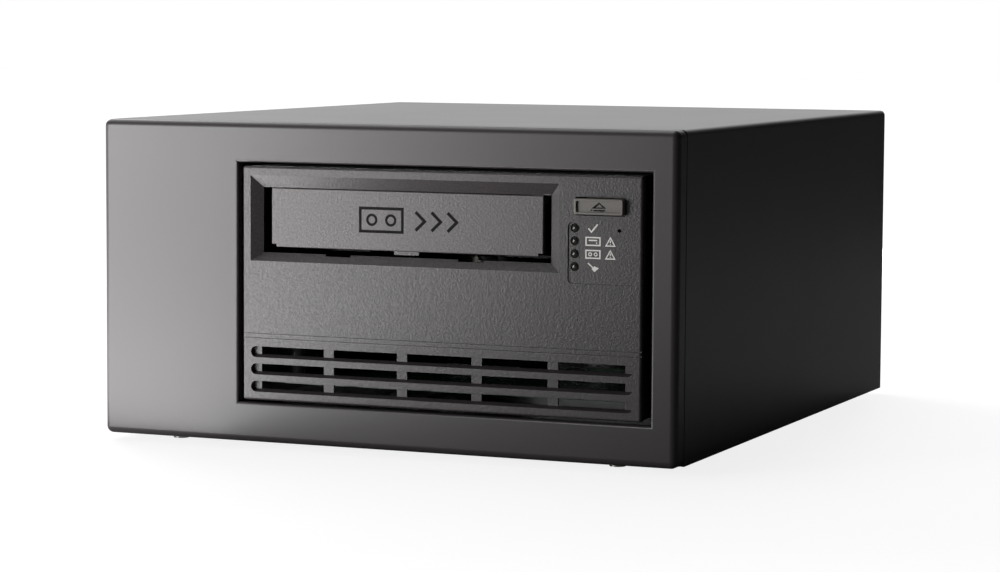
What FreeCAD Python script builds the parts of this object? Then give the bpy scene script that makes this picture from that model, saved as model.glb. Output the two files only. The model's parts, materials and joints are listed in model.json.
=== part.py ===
import FreeCAD, Part
import os
from math import acos, cos, pi, radians, sin, tan
from FreeCAD import Vector

# External data tape drive: a painted enclosure with a power supply on its left and a full-height
# 5.25 inch single-reel tape drive on its right.
# Millimetres. While modelling, X is zero at the case's centre line and grows to the right, Y is zero
# at the front panel's face and grows to the back, and Z is zero at the underside of the case.
# save() then moves every piece so that the origin is the bottom centre of the whole object.

# ---- enclosure ----
CASE_W = 218.0
CASE_D = 250.0
CASE_H = 113.0
FOOT_H = 2.5
FOOT_R = 7.0
FOOT_INSET_X = 24.0
FOOT_INSET_Y = 40.0
PANEL_T = 3.5            # front panel wall
PANEL_DEPTH = 7.5        # front panel, face to seam
PANEL_FLANGE_T = 2.4     # wall of the panel's rim
PANEL_EDGE_R = 2.5       # rounding round the panel's face
LIP_LENGTH = 5.0         # tongue of the panel under the cover
LIP_T = 1.0
SEAM = 0.7               # groove between panel and cover
COVER_T = 1.2
COVER_REAR_LIP = 9.0     # in-turned edge at the cover's back
BASE_T = 1.5
BASE_FLANGE_H = 14.0
REAR_T = 1.2
SHEET_GAP = 0.3          # between sheet-metal parts that nest

# ---- drive bezel, offsets from its lower left corner (u across, v up) ----
BEZEL_W = 149.0
BEZEL_H = 82.2
BEZEL_X = 22.4           # centre, right of the case's centre line
BEZEL_PROUD = 1.5
BEZEL_T = 3.0
BEZEL_EDGE_R = 0.8
OPENING_GAP_X = 2.8
OPENING_GAP_Z = 1.25
OPENING_EDGE_R = 1.0
SLOT_U0 = 6.8            # cartridge slot
SLOT_W = 108.6
SLOT_V0 = 52.0
SLOT_H = 22.9
RECESS_DEPTH = 2.8       # chamfered funnel round the slot
CHAMFER_SIDE = 3.8
CHAMFER_TOP = 4.2
CHAMFER_BOTTOM = 2.9
NOTCH_W = 9.5            # two finger notches in the lower chamfer
NOTCH_DEPTH = 0.7
NOTCH_U = (35.8, 86.0)
BUTTON_U = 134.0         # eject button centre
BUTTON_V = 71.8
BUTTON_W = 17.6
BUTTON_H = 5.4
BUTTON_PROUD = 2.2
BUTTON_GAP = 0.45
BUTTON_TRAVEL = 1.5
BUTTON_RIM = 0.8
BUTTON_DISH = 0.8
LABEL_U0 = 122.4
LABEL_W = 23.4
LABEL_V0 = 45.7
LABEL_H = 20.6
LABEL_R = 1.5
LABEL_DEPTH = 0.4
LED_U = 124.8
LED_V_TOP = 64.4
LED_PITCH = 4.33
LED_COUNT = 4
LED_R = 1.3
LED_HOLE_R = 1.55
PINHOLE_U = 140.7
PINHOLE_V = 63.9
PINHOLE_R = 0.65
STEP_V = 22.85           # middle of the two fine grooves across the bezel
STEP_PITCH = 1.6
STEP_GROOVE = 0.4
STEP_DEPTH = 0.5
GRILLE_ROWS = 3
GRILLE_PITCH = 6.1
GRILLE_V0 = 4.85         # lowest row's centre
GRILLE_H = 3.9
GRILLE_W = 142.8
GRILLE_DEPTH = 2.0
GRILLE_END = 3.25        # solid end of a row before its first window
GRILLE_SLOPE = 0.9       # rise of a row's lower wall from front to back
RIB_W = 3.8
WINDOWS = 5

# ---- tape door ----
DOOR_SIDE_GAP = 3.0
DOOR_BOTTOM_GAP = 2.0
DOOR_TOP_GAP = 0.2
DOOR_T = 2.0
DOOR_BACK = 0.1          # door face behind the bottom of the recess
DOOR_PIVOT_BACK = 0.2    # pivot behind the door's inner face
DOOR_PIVOT_RISE = 2.1    # pivot above the slot
DOOR_EAR_R = 1.7
DOOR_EAR_W = 4.0
DOOR_PIN_R = 0.8
DOOR_NOTCH_W = 1.9
DOOR_NOTCH_H = 1.1
DOOR_TAB_W = 9.3
DOOR_TAB_H = 1.3
RUN_FIT = 0.05           # radial clearance of every running fit

# ---- drive body ----
DRIVE_W = 146.0
DRIVE_D = 203.5          # behind the bezel
DRIVE_WALL = 1.5
DECK_V = 24.0            # casting deck above the drive's underside
DECK_T = 3.0
DRIVE_LID_T = 1.0
BOARD_T = 1.6

# ---- cartridge loader ----
CART_W = 105.4
CART_H = 21.5
CART_D = 102.0
CART_GAP = 0.5           # cartridge to tray
TRAY_T = 1.0
TRAY_Y0 = 28.5
TRAY_D = 62.0
TRAY_LEDGE = 27.0
TRAY_PIN_R = 1.5
TRAY_PIN_INSET = 12.0
SLED_T = 1.2
SLED_GAP = 0.4           # tray side to sled plate
SLED_TRAVEL = 40.0
TRAY_DROP = 8.0
RAIL_GAP = 0.3
RAIL_REEL_GAP = 1.0

# ---- load gears ----
MODULE = 0.8
PRESSURE_ANGLE = 20.0
BACKLASH = 0.12
RACK_OFFSET = 5.0        # rack pitch line outside the sled plate
RACK_TEETH = 22
PINION_TEETH = 20
GEAR_TEETH = 26
MOTOR_TEETH = 14
PINION_Y = 108.0
GEAR_T = 4.0
MOTOR_R = 11.0
SHAFT_R = 1.5

# ---- reels, rollers and head ----
HUB_R = 18.0
HUB_RISE = 3.0           # hub top above a lowered cartridge's underside
HUB_T = 5.0
MOTOR_CAN_R = 26.0
REEL_R = 34.0
REEL_CORE_R = 21.0
REEL_H = 15.0
REEL_FLANGE_T = 1.2
REEL_X = 54.0
REEL_Y = 167.5
TAPE_Z_RISE = 4.0        # tape's lower edge above a lowered cartridge's underside
ROLLER_R = 6.0
ROLLER_H = 15.0
ROLLER_PIN_R = 1.5
ROLLER_PLACES = ((-38.0, 142.0), (-41.0, 168.0), (-22.0, 185.0), (10.0, 152.0))
HEAD_X = -24.0
HEAD_Y = 164.0
HEAD_TRAVEL = 4.0
HEAD_W = 14.0
ARM_X = -5.0             # threading arm's pivot
ARM_Y = 190.0
ARM_L = 58.0

# ---- rear panel, power supply and wiring ----
FAN_SIZE = 60.0
FAN_T = 15.0
FAN_X = -16.0
FAN_Z = 66.0
FAN_BORE_R = 27.5
FAN_HUB_R = 13.0
FAN_TIP_GAP = 0.9
FAN_BLADES = 7
FAN_SCREW_PITCH = 50.0
GUARD_WIRE_R = 0.7
PSU_SIDE_GAP = 6.0       # power supply to the case's outer face
PSU_W = 47.0
PSU_Y0 = 22.0
PSU_D = 170.0
PSU_H = 84.0
PSU_T = 1.0
STANDOFF_H = 5.0
INLET_INSET = 29.0       # inlet and switch centre to the case's outer face
INLET_Z = 26.0
INLET_W = 27.0
INLET_H = 19.8
INLET_D = 22.0
FLANGE_LIP = 2.0
FLANGE_T = 2.5
SWITCH_Z = 58.0
SWITCH_W = 19.4
SWITCH_H = 12.9
SWITCH_D = 16.0
ROCKER_TILT = 8.0
ROCKER_R = 9.0
BUS_X = 58.0
BUS_Z = (84.0, 64.0)
BUS_W = 42.0
BUS_H = 8.0
BUS_D = 14.0
JACK_PITCH = 52.0
JACK_R = 2.6
JACK_BORE_R = 1.1        # tapped for a 2-56 thumbscrew
JACK_LENGTH = 5.0
JACK_PROUD = 4.5
ID_X = 58.0
ID_Z = 34.0
ID_W = 10.0
ID_H = 22.0
ID_D = 13.0
ID_BUTTON = 4.0
ID_TRAVEL = 1.0
ID_WHEEL_R = 5.0
ID_BUTTON_EDGE = 3.0     # button centre in from the switch's end
ID_PROUD = 2.0
SCREW_R = 1.5
SCREW_CLEAR = 0.1
HEAD_R = 2.8
HEAD_T = 1.6
VENT_SLOTS = 9
VENT_PITCH = 6.0
VENT_W = 2.6
VENT_H = 12.0
HARNESS_R = 2.5
RIBBON_T = 1.0

PAST = 1.0               # how far a cutting tool runs past the face that it opens

# ---- places worked out from the sizes above ----
FRONT_MOST = -(BEZEL_PROUD + BUTTON_PROUD)
REAR_MOST = CASE_D + JACK_PROUD
ORIGIN = Vector(0, -(FRONT_MOST + REAR_MOST) / 2, FOOT_H)
HALF_W = CASE_W / 2
PSU_X0 = PSU_SIDE_GAP - HALF_W
INLET_X = INLET_INSET - HALF_W
INNER_X = HALF_W - COVER_T
BEZEL_X0 = BEZEL_X - BEZEL_W / 2
BEZEL_Z0 = (CASE_H - BEZEL_H) / 2
BEZEL_BACK = BEZEL_T - BEZEL_PROUD
SLOT_X0 = BEZEL_X0 + SLOT_U0
SLOT_X1 = SLOT_X0 + SLOT_W
SLOT_X = (SLOT_X0 + SLOT_X1) / 2
SLOT_Z0 = BEZEL_Z0 + SLOT_V0
SLOT_Z1 = SLOT_Z0 + SLOT_H
DRIVE_X0 = BEZEL_X - DRIVE_W / 2
DRIVE_X1 = BEZEL_X + DRIVE_W / 2
DRIVE_Y1 = BEZEL_BACK + DRIVE_D
DECK_Z = BEZEL_Z0 + DECK_V
DRIVE_TOP = BEZEL_Z0 + BEZEL_H
DOOR_X0 = SLOT_X0 + DOOR_SIDE_GAP
DOOR_X1 = SLOT_X1 - DOOR_SIDE_GAP
DOOR_Y0 = RECESS_DEPTH - BEZEL_PROUD + DOOR_BACK
DOOR_Y1 = DOOR_Y0 + DOOR_T
PIVOT_Y = DOOR_Y1 + DOOR_PIVOT_BACK
PIVOT_Z = SLOT_Z1 + DOOR_PIVOT_RISE
CART_Z = SLOT_Z0 + (SLOT_H - CART_H) / 2
LOW_CART_Z = CART_Z - TRAY_DROP
TRAY_HALF = CART_W / 2 + CART_GAP
TRAY_Z0 = CART_Z - CART_GAP - TRAY_T
TRAY_Z1 = CART_Z + CART_H + CART_GAP + TRAY_T
TRAY_Y1 = TRAY_Y0 + TRAY_D
SLED_IN = TRAY_HALF + TRAY_T + SLED_GAP
SLED_OUT = SLED_IN + SLED_T
SLED_Z0 = TRAY_Z0 + 2.0
SLED_Z1 = TRAY_Z1 + 1.0
HUB_Y = TRAY_Y1 - TRAY_T - CART_D / 2 + SLED_TRAVEL
RACK_X = SLOT_X + SLED_OUT + RACK_OFFSET
RACK_Z = TRAY_Z0 + 14.0
PINION_X = RACK_X + MODULE * PINION_TEETH / 2
GEAR_Z = RACK_Z - 6.0
MOTOR_Y = PINION_Y + MODULE * (GEAR_TEETH + MOTOR_TEETH) / 2
REEL_Z0 = LOW_CART_Z + TAPE_Z_RISE - REEL_FLANGE_T


def box(x0, x1, y0, y1, z0, z1):
    return Part.makeBox(x1 - x0, y1 - y0, z1 - z0, Vector(x0, y0, z0))


def cyl_x(y, z, r, x0, x1):
    return Part.makeCylinder(r, x1 - x0, Vector(x0, y, z), Vector(1, 0, 0))


def cyl_y(x, z, r, y0, y1):
    return Part.makeCylinder(r, y1 - y0, Vector(x, y0, z), Vector(0, 1, 0))


def cyl_z(x, y, r, z0, z1):
    return Part.makeCylinder(r, z1 - z0, Vector(x, y, z0), Vector(0, 0, 1))


def fuse(shapes):
    first, *rest = shapes
    return first.fuse(rest).removeSplitter() if rest else first


def along(shape, axis):
    """The straight edges of a shape that run along one axis."""
    picked = []
    for edge in shape.Edges:
        if isinstance(edge.Curve, Part.Line) and abs(edge.Curve.Direction.dot(axis)) > 0.999:
            picked.append(edge)
    return picked


def rounded_y(x0, x1, y0, y1, z0, z1, r):
    """A block whose four edges along Y are rounded."""
    block = box(x0, x1, y0, y1, z0, z1)
    return block.makeFillet(r, along(block, Vector(0, 1, 0)))


def slot_y(x0, x1, y0, y1, z, height):
    """A block with fully round ends, seen along Y."""
    r = height / 2
    middle = box(x0 + r, x1 - r, y0, y1, z - r, z + r)
    return fuse([middle, cyl_y(x0 + r, z, r, y0, y1), cyl_y(x1 - r, z, r, y0, y1)])


def prism(points, axis, length):
    """A straight prism on a closed outline."""
    wire = Part.makePolygon([Vector(*p) for p in points] + [Vector(*points[0])])
    return Part.Face(wire).extrude(axis * length)


def extrude_x(outline, x0, x1):
    """outline is a list of (y, z)."""
    return prism([(x0, y, z) for y, z in outline], Vector(1, 0, 0), x1 - x0)


def extrude_y(outline, y0, y1):
    """outline is a list of (x, z)."""
    return prism([(x, y0, z) for x, z in outline], Vector(0, 1, 0), y1 - y0)


def extrude_z(outline, z0, z1):
    """outline is a list of (x, y)."""
    return prism([(x, y, z0) for x, y in outline], Vector(0, 0, 1), z1 - z0)


def turned(shape, centre, axis, angle):
    copy = shape.copy()
    copy.rotate(centre, axis, angle)
    return copy


def tube_path(points, r, radius):
    """A round bar along straight runs joined by arcs of one bend radius."""
    corners = [Vector(*p) for p in points]
    edges = []
    start = corners[0]
    for before, corner, after in zip(corners, corners[1:], corners[2:]):
        inward = (before - corner).normalize()
        outward = (after - corner).normalize()
        half = inward.getAngle(outward) / 2
        reach = radius / tan(half)
        first = corner + inward * reach
        last = corner + outward * reach
        bisector = (inward + outward).normalize()
        middle = corner + bisector * (radius / sin(half) - radius)
        edges.append(Part.LineSegment(start, first).toShape())
        edges.append(Part.Arc(first, middle, last).toShape())
        start = last
    edges.append(Part.LineSegment(start, corners[-1]).toShape())
    wire = Part.Wire(edges)
    direction = (corners[1] - corners[0]).normalize()
    section = Part.Wire(Part.Circle(corners[0], direction, r).toShape())
    return wire.makePipeShell([section], True, False)


def screw(x, y, z, axis, length):
    """A pan-head machine screw: head base at the point, head towards the axis, shank the other way."""
    head = Part.makeCylinder(HEAD_R, HEAD_T, Vector(x, y, z), axis)
    shank = Part.makeCylinder(SCREW_R, length, Vector(x, y, z), axis * -1)
    arm = box(-HEAD_R * 0.6, HEAD_R * 0.6, -HEAD_T / 6, HEAD_T / 6, -HEAD_T / 2, HEAD_T / 2)
    cross = fuse([arm, turned(arm, Vector(0, 0, 0), Vector(0, 0, 1), 90)])
    turn = FreeCAD.Rotation(Vector(0, 0, 1), axis)
    cross.Placement = FreeCAD.Placement(Vector(x, y, z) + axis * HEAD_T, turn)
    return fuse([head, shank]).cut(cross)


def save(name, shapes):
    """Write one node: a solid, or a group of separate solids."""
    group = shapes if isinstance(shapes, list) else [shapes]
    solids = []
    for shape in group:
        solids.extend(shape.Solids)
    for solid in solids:
        if not solid.isValid():
            raise ValueError(name + " has an invalid solid")
    node = Part.makeCompound(solids) if len(solids) > 1 else solids[0].copy()
    node.translate(ORIGIN)
    node.exportStep("parts/" + name + ".step")
    print(name, len(solids), round(sum(s.Volume for s in solids), 1))


# ======== enclosure ========

def opening_box(y0, y1):
    x0 = BEZEL_X0 - OPENING_GAP_X
    x1 = BEZEL_X0 + BEZEL_W + OPENING_GAP_X
    z0 = BEZEL_Z0 - OPENING_GAP_Z
    z1 = BEZEL_Z0 + BEZEL_H + OPENING_GAP_Z
    return box(x0, x1, y0, y1, z0, z1)


def edges_at(shape, y, limits):
    """Edges lying in the plane at y, inside the limits (x0, x1, z0, z1)."""
    x0, x1, z0, z1 = limits
    picked = []
    for edge in shape.Edges:
        b = edge.BoundBox
        flat = abs(b.YMin - y) < 1e-6 and abs(b.YMax - y) < 1e-6
        if flat and b.XMin > x0 and b.XMax < x1 and b.ZMin > z0 and b.ZMax < z1:
            picked.append(edge)
    return picked


EDGE_BAND = 0.5          # how far round an opening its own edges are looked for
PANEL_SCREW_INSET = 25.0
PANEL_SCREW_X = HALF_W - PANEL_SCREW_INSET
PANEL_SCREW_Y = 11.5
PANEL_BOSS = 4.0
PANEL_BOSS_H = 9.0
PANEL_SCREW_L = 7.0


def front_panel():
    outer = box(-HALF_W, HALF_W, 0, PANEL_DEPTH, 0, CASE_H)
    edges = along(outer, Vector(0, 1, 0)) + edges_at(outer, 0, (-CASE_W, CASE_W, -PAST, CASE_H + PAST))
    outer = outer.makeFillet(PANEL_EDGE_R, edges)
    f = PANEL_FLANGE_T
    hollow = box(-HALF_W + f, HALF_W - f, PANEL_T, PANEL_DEPTH + PAST, f, CASE_H - f)
    shell = outer.cut([hollow, opening_box(-PAST, PANEL_T + PAST)])
    rim = OPENING_EDGE_R + EDGE_BAND
    x0 = BEZEL_X0 - OPENING_GAP_X - rim
    x1 = BEZEL_X0 + BEZEL_W + OPENING_GAP_X + rim
    z0 = BEZEL_Z0 - OPENING_GAP_Z - rim
    z1 = BEZEL_Z0 + BEZEL_H + OPENING_GAP_Z + rim
    shell = shell.makeFillet(OPENING_EDGE_R, edges_at(shell, 0, (x0, x1, z0, z1)))
    side = COVER_T + SHEET_GAP
    low = BASE_T + SHEET_GAP
    y1 = PANEL_DEPTH + LIP_LENGTH
    ring = box(-HALF_W + side, HALF_W - side, PANEL_T, y1, low, CASE_H - side)
    t = LIP_T
    inside = box(-HALF_W + side + t, HALF_W - side - t, 0, y1 + PAST, low + t, CASE_H - side - t)
    parts = [shell, ring.cut(inside)]
    holes = []
    for x in (-PANEL_SCREW_X, PANEL_SCREW_X):
        y = PANEL_SCREW_Y
        block = box(x - PANEL_BOSS, x + PANEL_BOSS, PANEL_T, y + PANEL_BOSS, low, PANEL_BOSS_H)
        parts.append(block)
        holes.append(cyl_z(x, y, SCREW_R + SCREW_CLEAR, low - PAST, PANEL_BOSS_H + PAST))
    save("front_panel", fuse(parts).cut(holes))
    screws = []
    for x in (-PANEL_SCREW_X, PANEL_SCREW_X):
        screws.append(screw(x, PANEL_SCREW_Y, 0, Vector(0, 0, -1), PANEL_SCREW_L))
    save("front_panel_screws", screws)


COVER_Y0 = PANEL_DEPTH + SEAM
LIP_SCREW_INSET = 5.5
LIP_SCREW_X = 45.0
LIP_SCREW_Z = (30.0, 88.0)
LIP_X = HALF_W - LIP_SCREW_INSET
LIP_SCREWS = [(x, z) for x in (-LIP_X, LIP_X) for z in LIP_SCREW_Z]
LIP_SCREWS += [(x, CASE_H - LIP_SCREW_INSET) for x in (-LIP_SCREW_X, LIP_SCREW_X)]
REAR_Y1 = CASE_D - COVER_T - SHEET_GAP
REAR_Y0 = REAR_Y1 - REAR_T
COVER_CORNER_R = 2.0


def top_cover():
    outer = box(-HALF_W, HALF_W, COVER_Y0, CASE_D, 0, CASE_H)
    tops = [e for e in along(outer, Vector(0, 1, 0)) if e.BoundBox.ZMin > CASE_H / 2]
    outer = outer.makeFillet(COVER_CORNER_R, tops)
    inner = box(-INNER_X, INNER_X, COVER_Y0 - PAST, CASE_D - COVER_T, -PAST, CASE_H - COVER_T)
    lip = COVER_REAR_LIP
    y0 = CASE_D - COVER_T - PAST
    y1 = CASE_D + PAST
    back = box(-INNER_X + lip, INNER_X - lip, y0, y1, -PAST, CASE_H - COVER_T - lip)
    holes = [cyl_y(x, z, SCREW_R + SCREW_CLEAR, y0, y1) for x, z in LIP_SCREWS]
    save("top_cover", outer.cut([inner, back] + holes))


BRACKET_T = 1.5
BRACKET_GAP = 0.2
BRACKET_Y = (30.0, 190.0)
BRACKET_TOP = 62.0
BRACKET_FOOT = 14.0
BRACKET_SCREW_Y = (45.0, 110.0, 175.0)
SIDE_SCREW_Y = (52.0, 131.0)
SIDE_SCREW_RISE = 10.6    # drive's side screws above its underside
SIDE_SCREW_Z = BEZEL_Z0 + SIDE_SCREW_RISE
SIDE_SCREW_L = 4.5
REAR_FLANGE_INSET = 13.0
REAR_FLANGE_SCREWS = (REAR_FLANGE_INSET - HALF_W, -50.0, 35.0, HALF_W - REAR_FLANGE_INSET)
REAR_FLANGE_SCREW_Z = 8.0
FAN_SCREW_L = 12.0
FLANGE_END_GAP = 1.0
REAR_FLANGE_INDENT = 3.0
SCREW_GRIP = 1.5         # length of a screw beyond what it holds
BRACKET_WINDOW_Y = (30.0, 75.0)
BRACKET_WINDOW_Z = 34.0
BRACKET_WINDOW_TOP = 8.0


def foot_places():
    x = HALF_W - FOOT_INSET_X
    return [(sx * x, y) for sx in (-1, 1) for y in (FOOT_INSET_Y, CASE_D - FOOT_INSET_Y)]


def fan_screw_places():
    half = FAN_SCREW_PITCH / 2
    return [(FAN_X + sx * half, FAN_Z + sz * half) for sx in (-1, 1) for sz in (-1, 1)]


def bracket_screw_places():
    left = DRIVE_X0 - BRACKET_GAP + BRACKET_FOOT / 2
    right = DRIVE_X1 + BRACKET_GAP - BRACKET_FOOT / 2
    return [(x, y) for x in (left, right) for y in BRACKET_SCREW_Y]


FOOT_SCREW_R = 1.5
FOOT_SCREW_HEAD_R = 3.0
FOOT_POCKET = 1.4
FOOT_TAPER = 0.8
FOOT_HEAD_GAP = 0.3
PANEL_HOLE_GAP = 0.2     # rear panel cut-out round each fitting
VENT_RISE = 3.0          # lowest vent edge above the base's rear flange


def base_chassis():
    x = INNER_X - SHEET_GAP
    floor = box(-x, x, COVER_Y0, REAR_Y1, 0, BASE_T)
    y0 = PANEL_DEPTH + LIP_LENGTH + FLANGE_END_GAP
    y1 = REAR_Y0 - FLANGE_END_GAP
    rear = x - REAR_FLANGE_INDENT
    flanges = [box(-x, -x + BASE_T, y0, y1, 0, BASE_FLANGE_H),
               box(x - BASE_T, x, y0, y1, 0, BASE_FLANGE_H),
               box(-rear, rear, REAR_Y0 - SHEET_GAP - BASE_T, REAR_Y0 - SHEET_GAP, 0, BASE_FLANGE_H)]
    hole = SCREW_R + SCREW_CLEAR
    holes = [cyl_z(px, py, hole, -PAST, BASE_T + PAST) for px, py in foot_places() + bracket_screw_places()]
    holes += [cyl_z(s * PANEL_SCREW_X, PANEL_SCREW_Y, hole, -PAST, BASE_T + PAST) for s in (-1, 1)]
    for px in REAR_FLANGE_SCREWS:
        y = REAR_Y0 - SHEET_GAP
        holes.append(cyl_y(px, REAR_FLANGE_SCREW_Z, hole, y - BASE_T - PAST, y + PAST))
    save("base_chassis", fuse([floor] + flanges).cut(holes))


def rubber_feet():
    feet = []
    screws = []
    for x, y in foot_places():
        pad = Part.makeCone(FOOT_R - FOOT_TAPER, FOOT_R, FOOT_H, Vector(x, y, -FOOT_H), Vector(0, 0, 1))
        pocket = cyl_z(x, y, FOOT_SCREW_HEAD_R + FOOT_HEAD_GAP, -FOOT_H - PAST, -FOOT_H + FOOT_POCKET)
        bore = cyl_z(x, y, FOOT_SCREW_R + SCREW_CLEAR, -FOOT_H - PAST, PAST)
        feet.append(pad.cut([pocket, bore]))
        head = cyl_z(x, y, FOOT_SCREW_HEAD_R, -FOOT_H + FOOT_HEAD_GAP, -FOOT_H + FOOT_POCKET)
        shank = cyl_z(x, y, FOOT_SCREW_R, -FOOT_H + FOOT_POCKET, BASE_T - SCREW_CLEAR)
        screws.append(fuse([head, shank]))
    save("rubber_feet", feet)
    save("foot_screws", screws)


def rear_cutouts():
    """Every hole in the rear panel."""
    y0 = REAR_Y0 - 1
    y1 = REAR_Y1 + 1
    hole = SCREW_R + SCREW_CLEAR
    cuts = [cyl_y(FAN_X, FAN_Z, FAN_BORE_R, y0, y1)]
    cuts += [cyl_y(x, z, hole, y0, y1) for x, z in fan_screw_places()]
    gap = PANEL_HOLE_GAP
    w = INLET_W / 2 + gap
    h = INLET_H / 2 + gap
    cuts.append(box(INLET_X - w, INLET_X + w, y0, y1, INLET_Z - h, INLET_Z + h))
    w = SWITCH_W / 2 + gap
    h = SWITCH_H / 2 + gap
    cuts.append(box(INLET_X - w, INLET_X + w, y0, y1, SWITCH_Z - h, SWITCH_Z + h))
    for z in BUS_Z:
        w = BUS_W / 2 + gap
        h = BUS_H / 2 + gap
        cuts.append(box(BUS_X - w, BUS_X + w, y0, y1, z - h, z + h))
        for s in (-1, 1):
            cuts.append(cyl_y(BUS_X + s * JACK_PITCH / 2, z, JACK_R + SCREW_CLEAR, y0, y1))
    w = ID_W / 2 + gap
    h = ID_H / 2 + gap
    cuts.append(box(ID_X - w, ID_X + w, y0, y1, ID_Z - h, ID_Z + h))
    first = FAN_X - (VENT_SLOTS - 1) / 2 * VENT_PITCH
    for i in range(VENT_SLOTS):
        x = first + i * VENT_PITCH
        r = VENT_W / 2
        z0 = BASE_FLANGE_H + VENT_RISE
        cuts.append(box(x - r, x + r, y0, y1, z0, z0 + VENT_H))
    cuts += [cyl_y(x, z, hole, y0, y1) for x, z in LIP_SCREWS]
    cuts += [cyl_y(x, REAR_FLANGE_SCREW_Z, hole, y0, y1) for x in REAR_FLANGE_SCREWS]
    return cuts


def rear_panel():
    x = INNER_X - SHEET_GAP
    plate = box(-x, x, REAR_Y0, REAR_Y1, BASE_T + SHEET_GAP, CASE_H - COVER_T - SHEET_GAP)
    save("rear_panel", plate.cut(rear_cutouts()))


def rear_screws():
    """All the screws driven from behind: through the cover's edge, the rear panel and the fan."""
    back = Vector(0, 1, 0)
    length = CASE_D - REAR_Y0 + SCREW_GRIP
    screws = [screw(x, CASE_D, z, back, length) for x, z in LIP_SCREWS]
    length = REAR_T + SHEET_GAP + BASE_T + SCREW_GRIP
    screws += [screw(x, REAR_Y1, REAR_FLANGE_SCREW_Z, back, length) for x in REAR_FLANGE_SCREWS]
    screws += [screw(x, REAR_Y1 + 2 * GUARD_WIRE_R, z, back, FAN_SCREW_L) for x, z in fan_screw_places()]
    save("rear_screws", screws)


def drive_brackets():
    y0, y1 = BRACKET_Y
    for name, face, side in (("drive_bracket_left", DRIVE_X0 - BRACKET_GAP, -1),
                             ("drive_bracket_right", DRIVE_X1 + BRACKET_GAP, 1)):
        back = face + side * BRACKET_T
        inner = face - side * BRACKET_FOOT
        wall = box(min(face, back), max(face, back), y0, y1, BASE_T, BRACKET_TOP)
        foot = box(min(back, inner), max(back, inner), y0, y1, BASE_T, BASE_T + BRACKET_T)
        holes = []
        for x, y in bracket_screw_places():
            holes.append(cyl_z(x, y, SCREW_R + SCREW_CLEAR, 0, BASE_T + BRACKET_T + PAST))
        for y in SIDE_SCREW_Y:
            a = min(face, back) - PAST
            holes.append(cyl_x(y, SIDE_SCREW_Z, SCREW_R + SCREW_CLEAR, a, a + BRACKET_T + 2 * PAST))
        a = y0 + BRACKET_WINDOW_Y[0]
        b = y1 - BRACKET_WINDOW_Y[1]
        top = BRACKET_TOP - BRACKET_WINDOW_TOP
        window = box(min(face, back) - PAST, max(face, back) + PAST, a, b, BRACKET_WINDOW_Z, top)
        save(name, fuse([wall, foot]).cut(holes + [window]))
    screws = []
    for x, y in bracket_screw_places():
        screws.append(screw(x, y, BASE_T + BRACKET_T, Vector(0, 0, 1), BASE_T + BRACKET_T))
    for side, face in ((-1, DRIVE_X0 - BRACKET_GAP), (1, DRIVE_X1 + BRACKET_GAP)):
        for y in SIDE_SCREW_Y:
            head = face + side * BRACKET_T
            screws.append(screw(head, y, SIDE_SCREW_Z, Vector(side, 0, 0), SIDE_SCREW_L))
    save("drive_mounting_screws", screws)


# ======== drive front ========

FRONT_BOARD_Y = 14.0
SWITCH_BODY_Y = 10.0     # front of the eject switch's body
SWITCH_DOME_L = 1.0
SWITCH_GAP = 0.1
BOARD_POST_R = 2.2
BOARD_POSTS = ((142.0, 36.0), (128.5, 36.0), (142.0, 56.0))
PIPE_BAR_Y = (4.0, 6.0)
LUG_GAP = 0.3
LUG_W = 2.5
LUG_R = 2.2
LUG_RISE = 0.1
JOIN = 0.5               # how far one feature reaches into the next, to make one solid
BUTTON_HOLE_R = 1.0
BUTTON_FLANGE = 1.2
BUTTON_FLANGE_GAP = 0.4
BUTTON_CORNER_R = 0.7
BUTTON_FACE_R = 0.35
BUTTON_DISH_R = 0.5
BUTTON_STEM_R = 2.0
MARK_DEPTH = 0.25        # engraved eject mark: a triangle over a bar
MARK_HALF = 2.9
MARK_BASE = 0.55
MARK_H = 1.9
MARK_BAR = (0.4, 0.95)
DOOR_FACE_R = 0.4
DOOR_TAB_T = 0.8
DOOR_TAB_ROOT = 2.0
DOOR_EAR_ROOT = 3.0
SPRING_TURNS = 12
SPRING_WIRE_R = 0.25
SPRING_GAP = 0.2
SPRING_INSET = 1.0
SWITCH_HALF = 3.0
SWITCH_DOME_R = 1.7
RESET_HALF = 2.0
RESET_DEPTH = 2.5
LAMP_HALF = 1.0
BOARD_EDGE_GAP = 0.8
BOARD_TOP_GAP = 3.0
BOARD_DECK_GAP = 0.5
BOARD_SIDE = 2.0
LENS_STEP = 0.3
LENS_DOME = 1.25         # dome radius over lens radius
LENS_SINK = 1.05         # dome centre behind the label field, over lens radius
PIPE_BAR_HALF = 0.9
PLUNGER_R = 1.0
PLUNGER_TRAVEL = 0.4


def across(u):
    return BEZEL_X0 + u


def up(v):
    return BEZEL_Z0 + v


def recess_funnel():
    """The tapered mouth round the cartridge slot, carried a little in front of the bezel."""
    front = EDGE_BAND
    grow = (RECESS_DEPTH + front) / RECESS_DEPTH
    y0 = -BEZEL_PROUD - front
    y1 = -BEZEL_PROUD + RECESS_DEPTH
    wires = []
    for y, k in ((y0, grow), (y1, 0.0)):
        x0 = SLOT_X0 - CHAMFER_SIDE * k
        x1 = SLOT_X1 + CHAMFER_SIDE * k
        z0 = SLOT_Z0 - CHAMFER_BOTTOM * k
        z1 = SLOT_Z1 + CHAMFER_TOP * k
        corners = [Vector(x0, y, z0), Vector(x1, y, z0), Vector(x1, y, z1), Vector(x0, y, z1)]
        wires.append(Part.makePolygon(corners + [corners[0]]))
    return Part.makeLoft(wires, True, True)


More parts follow.
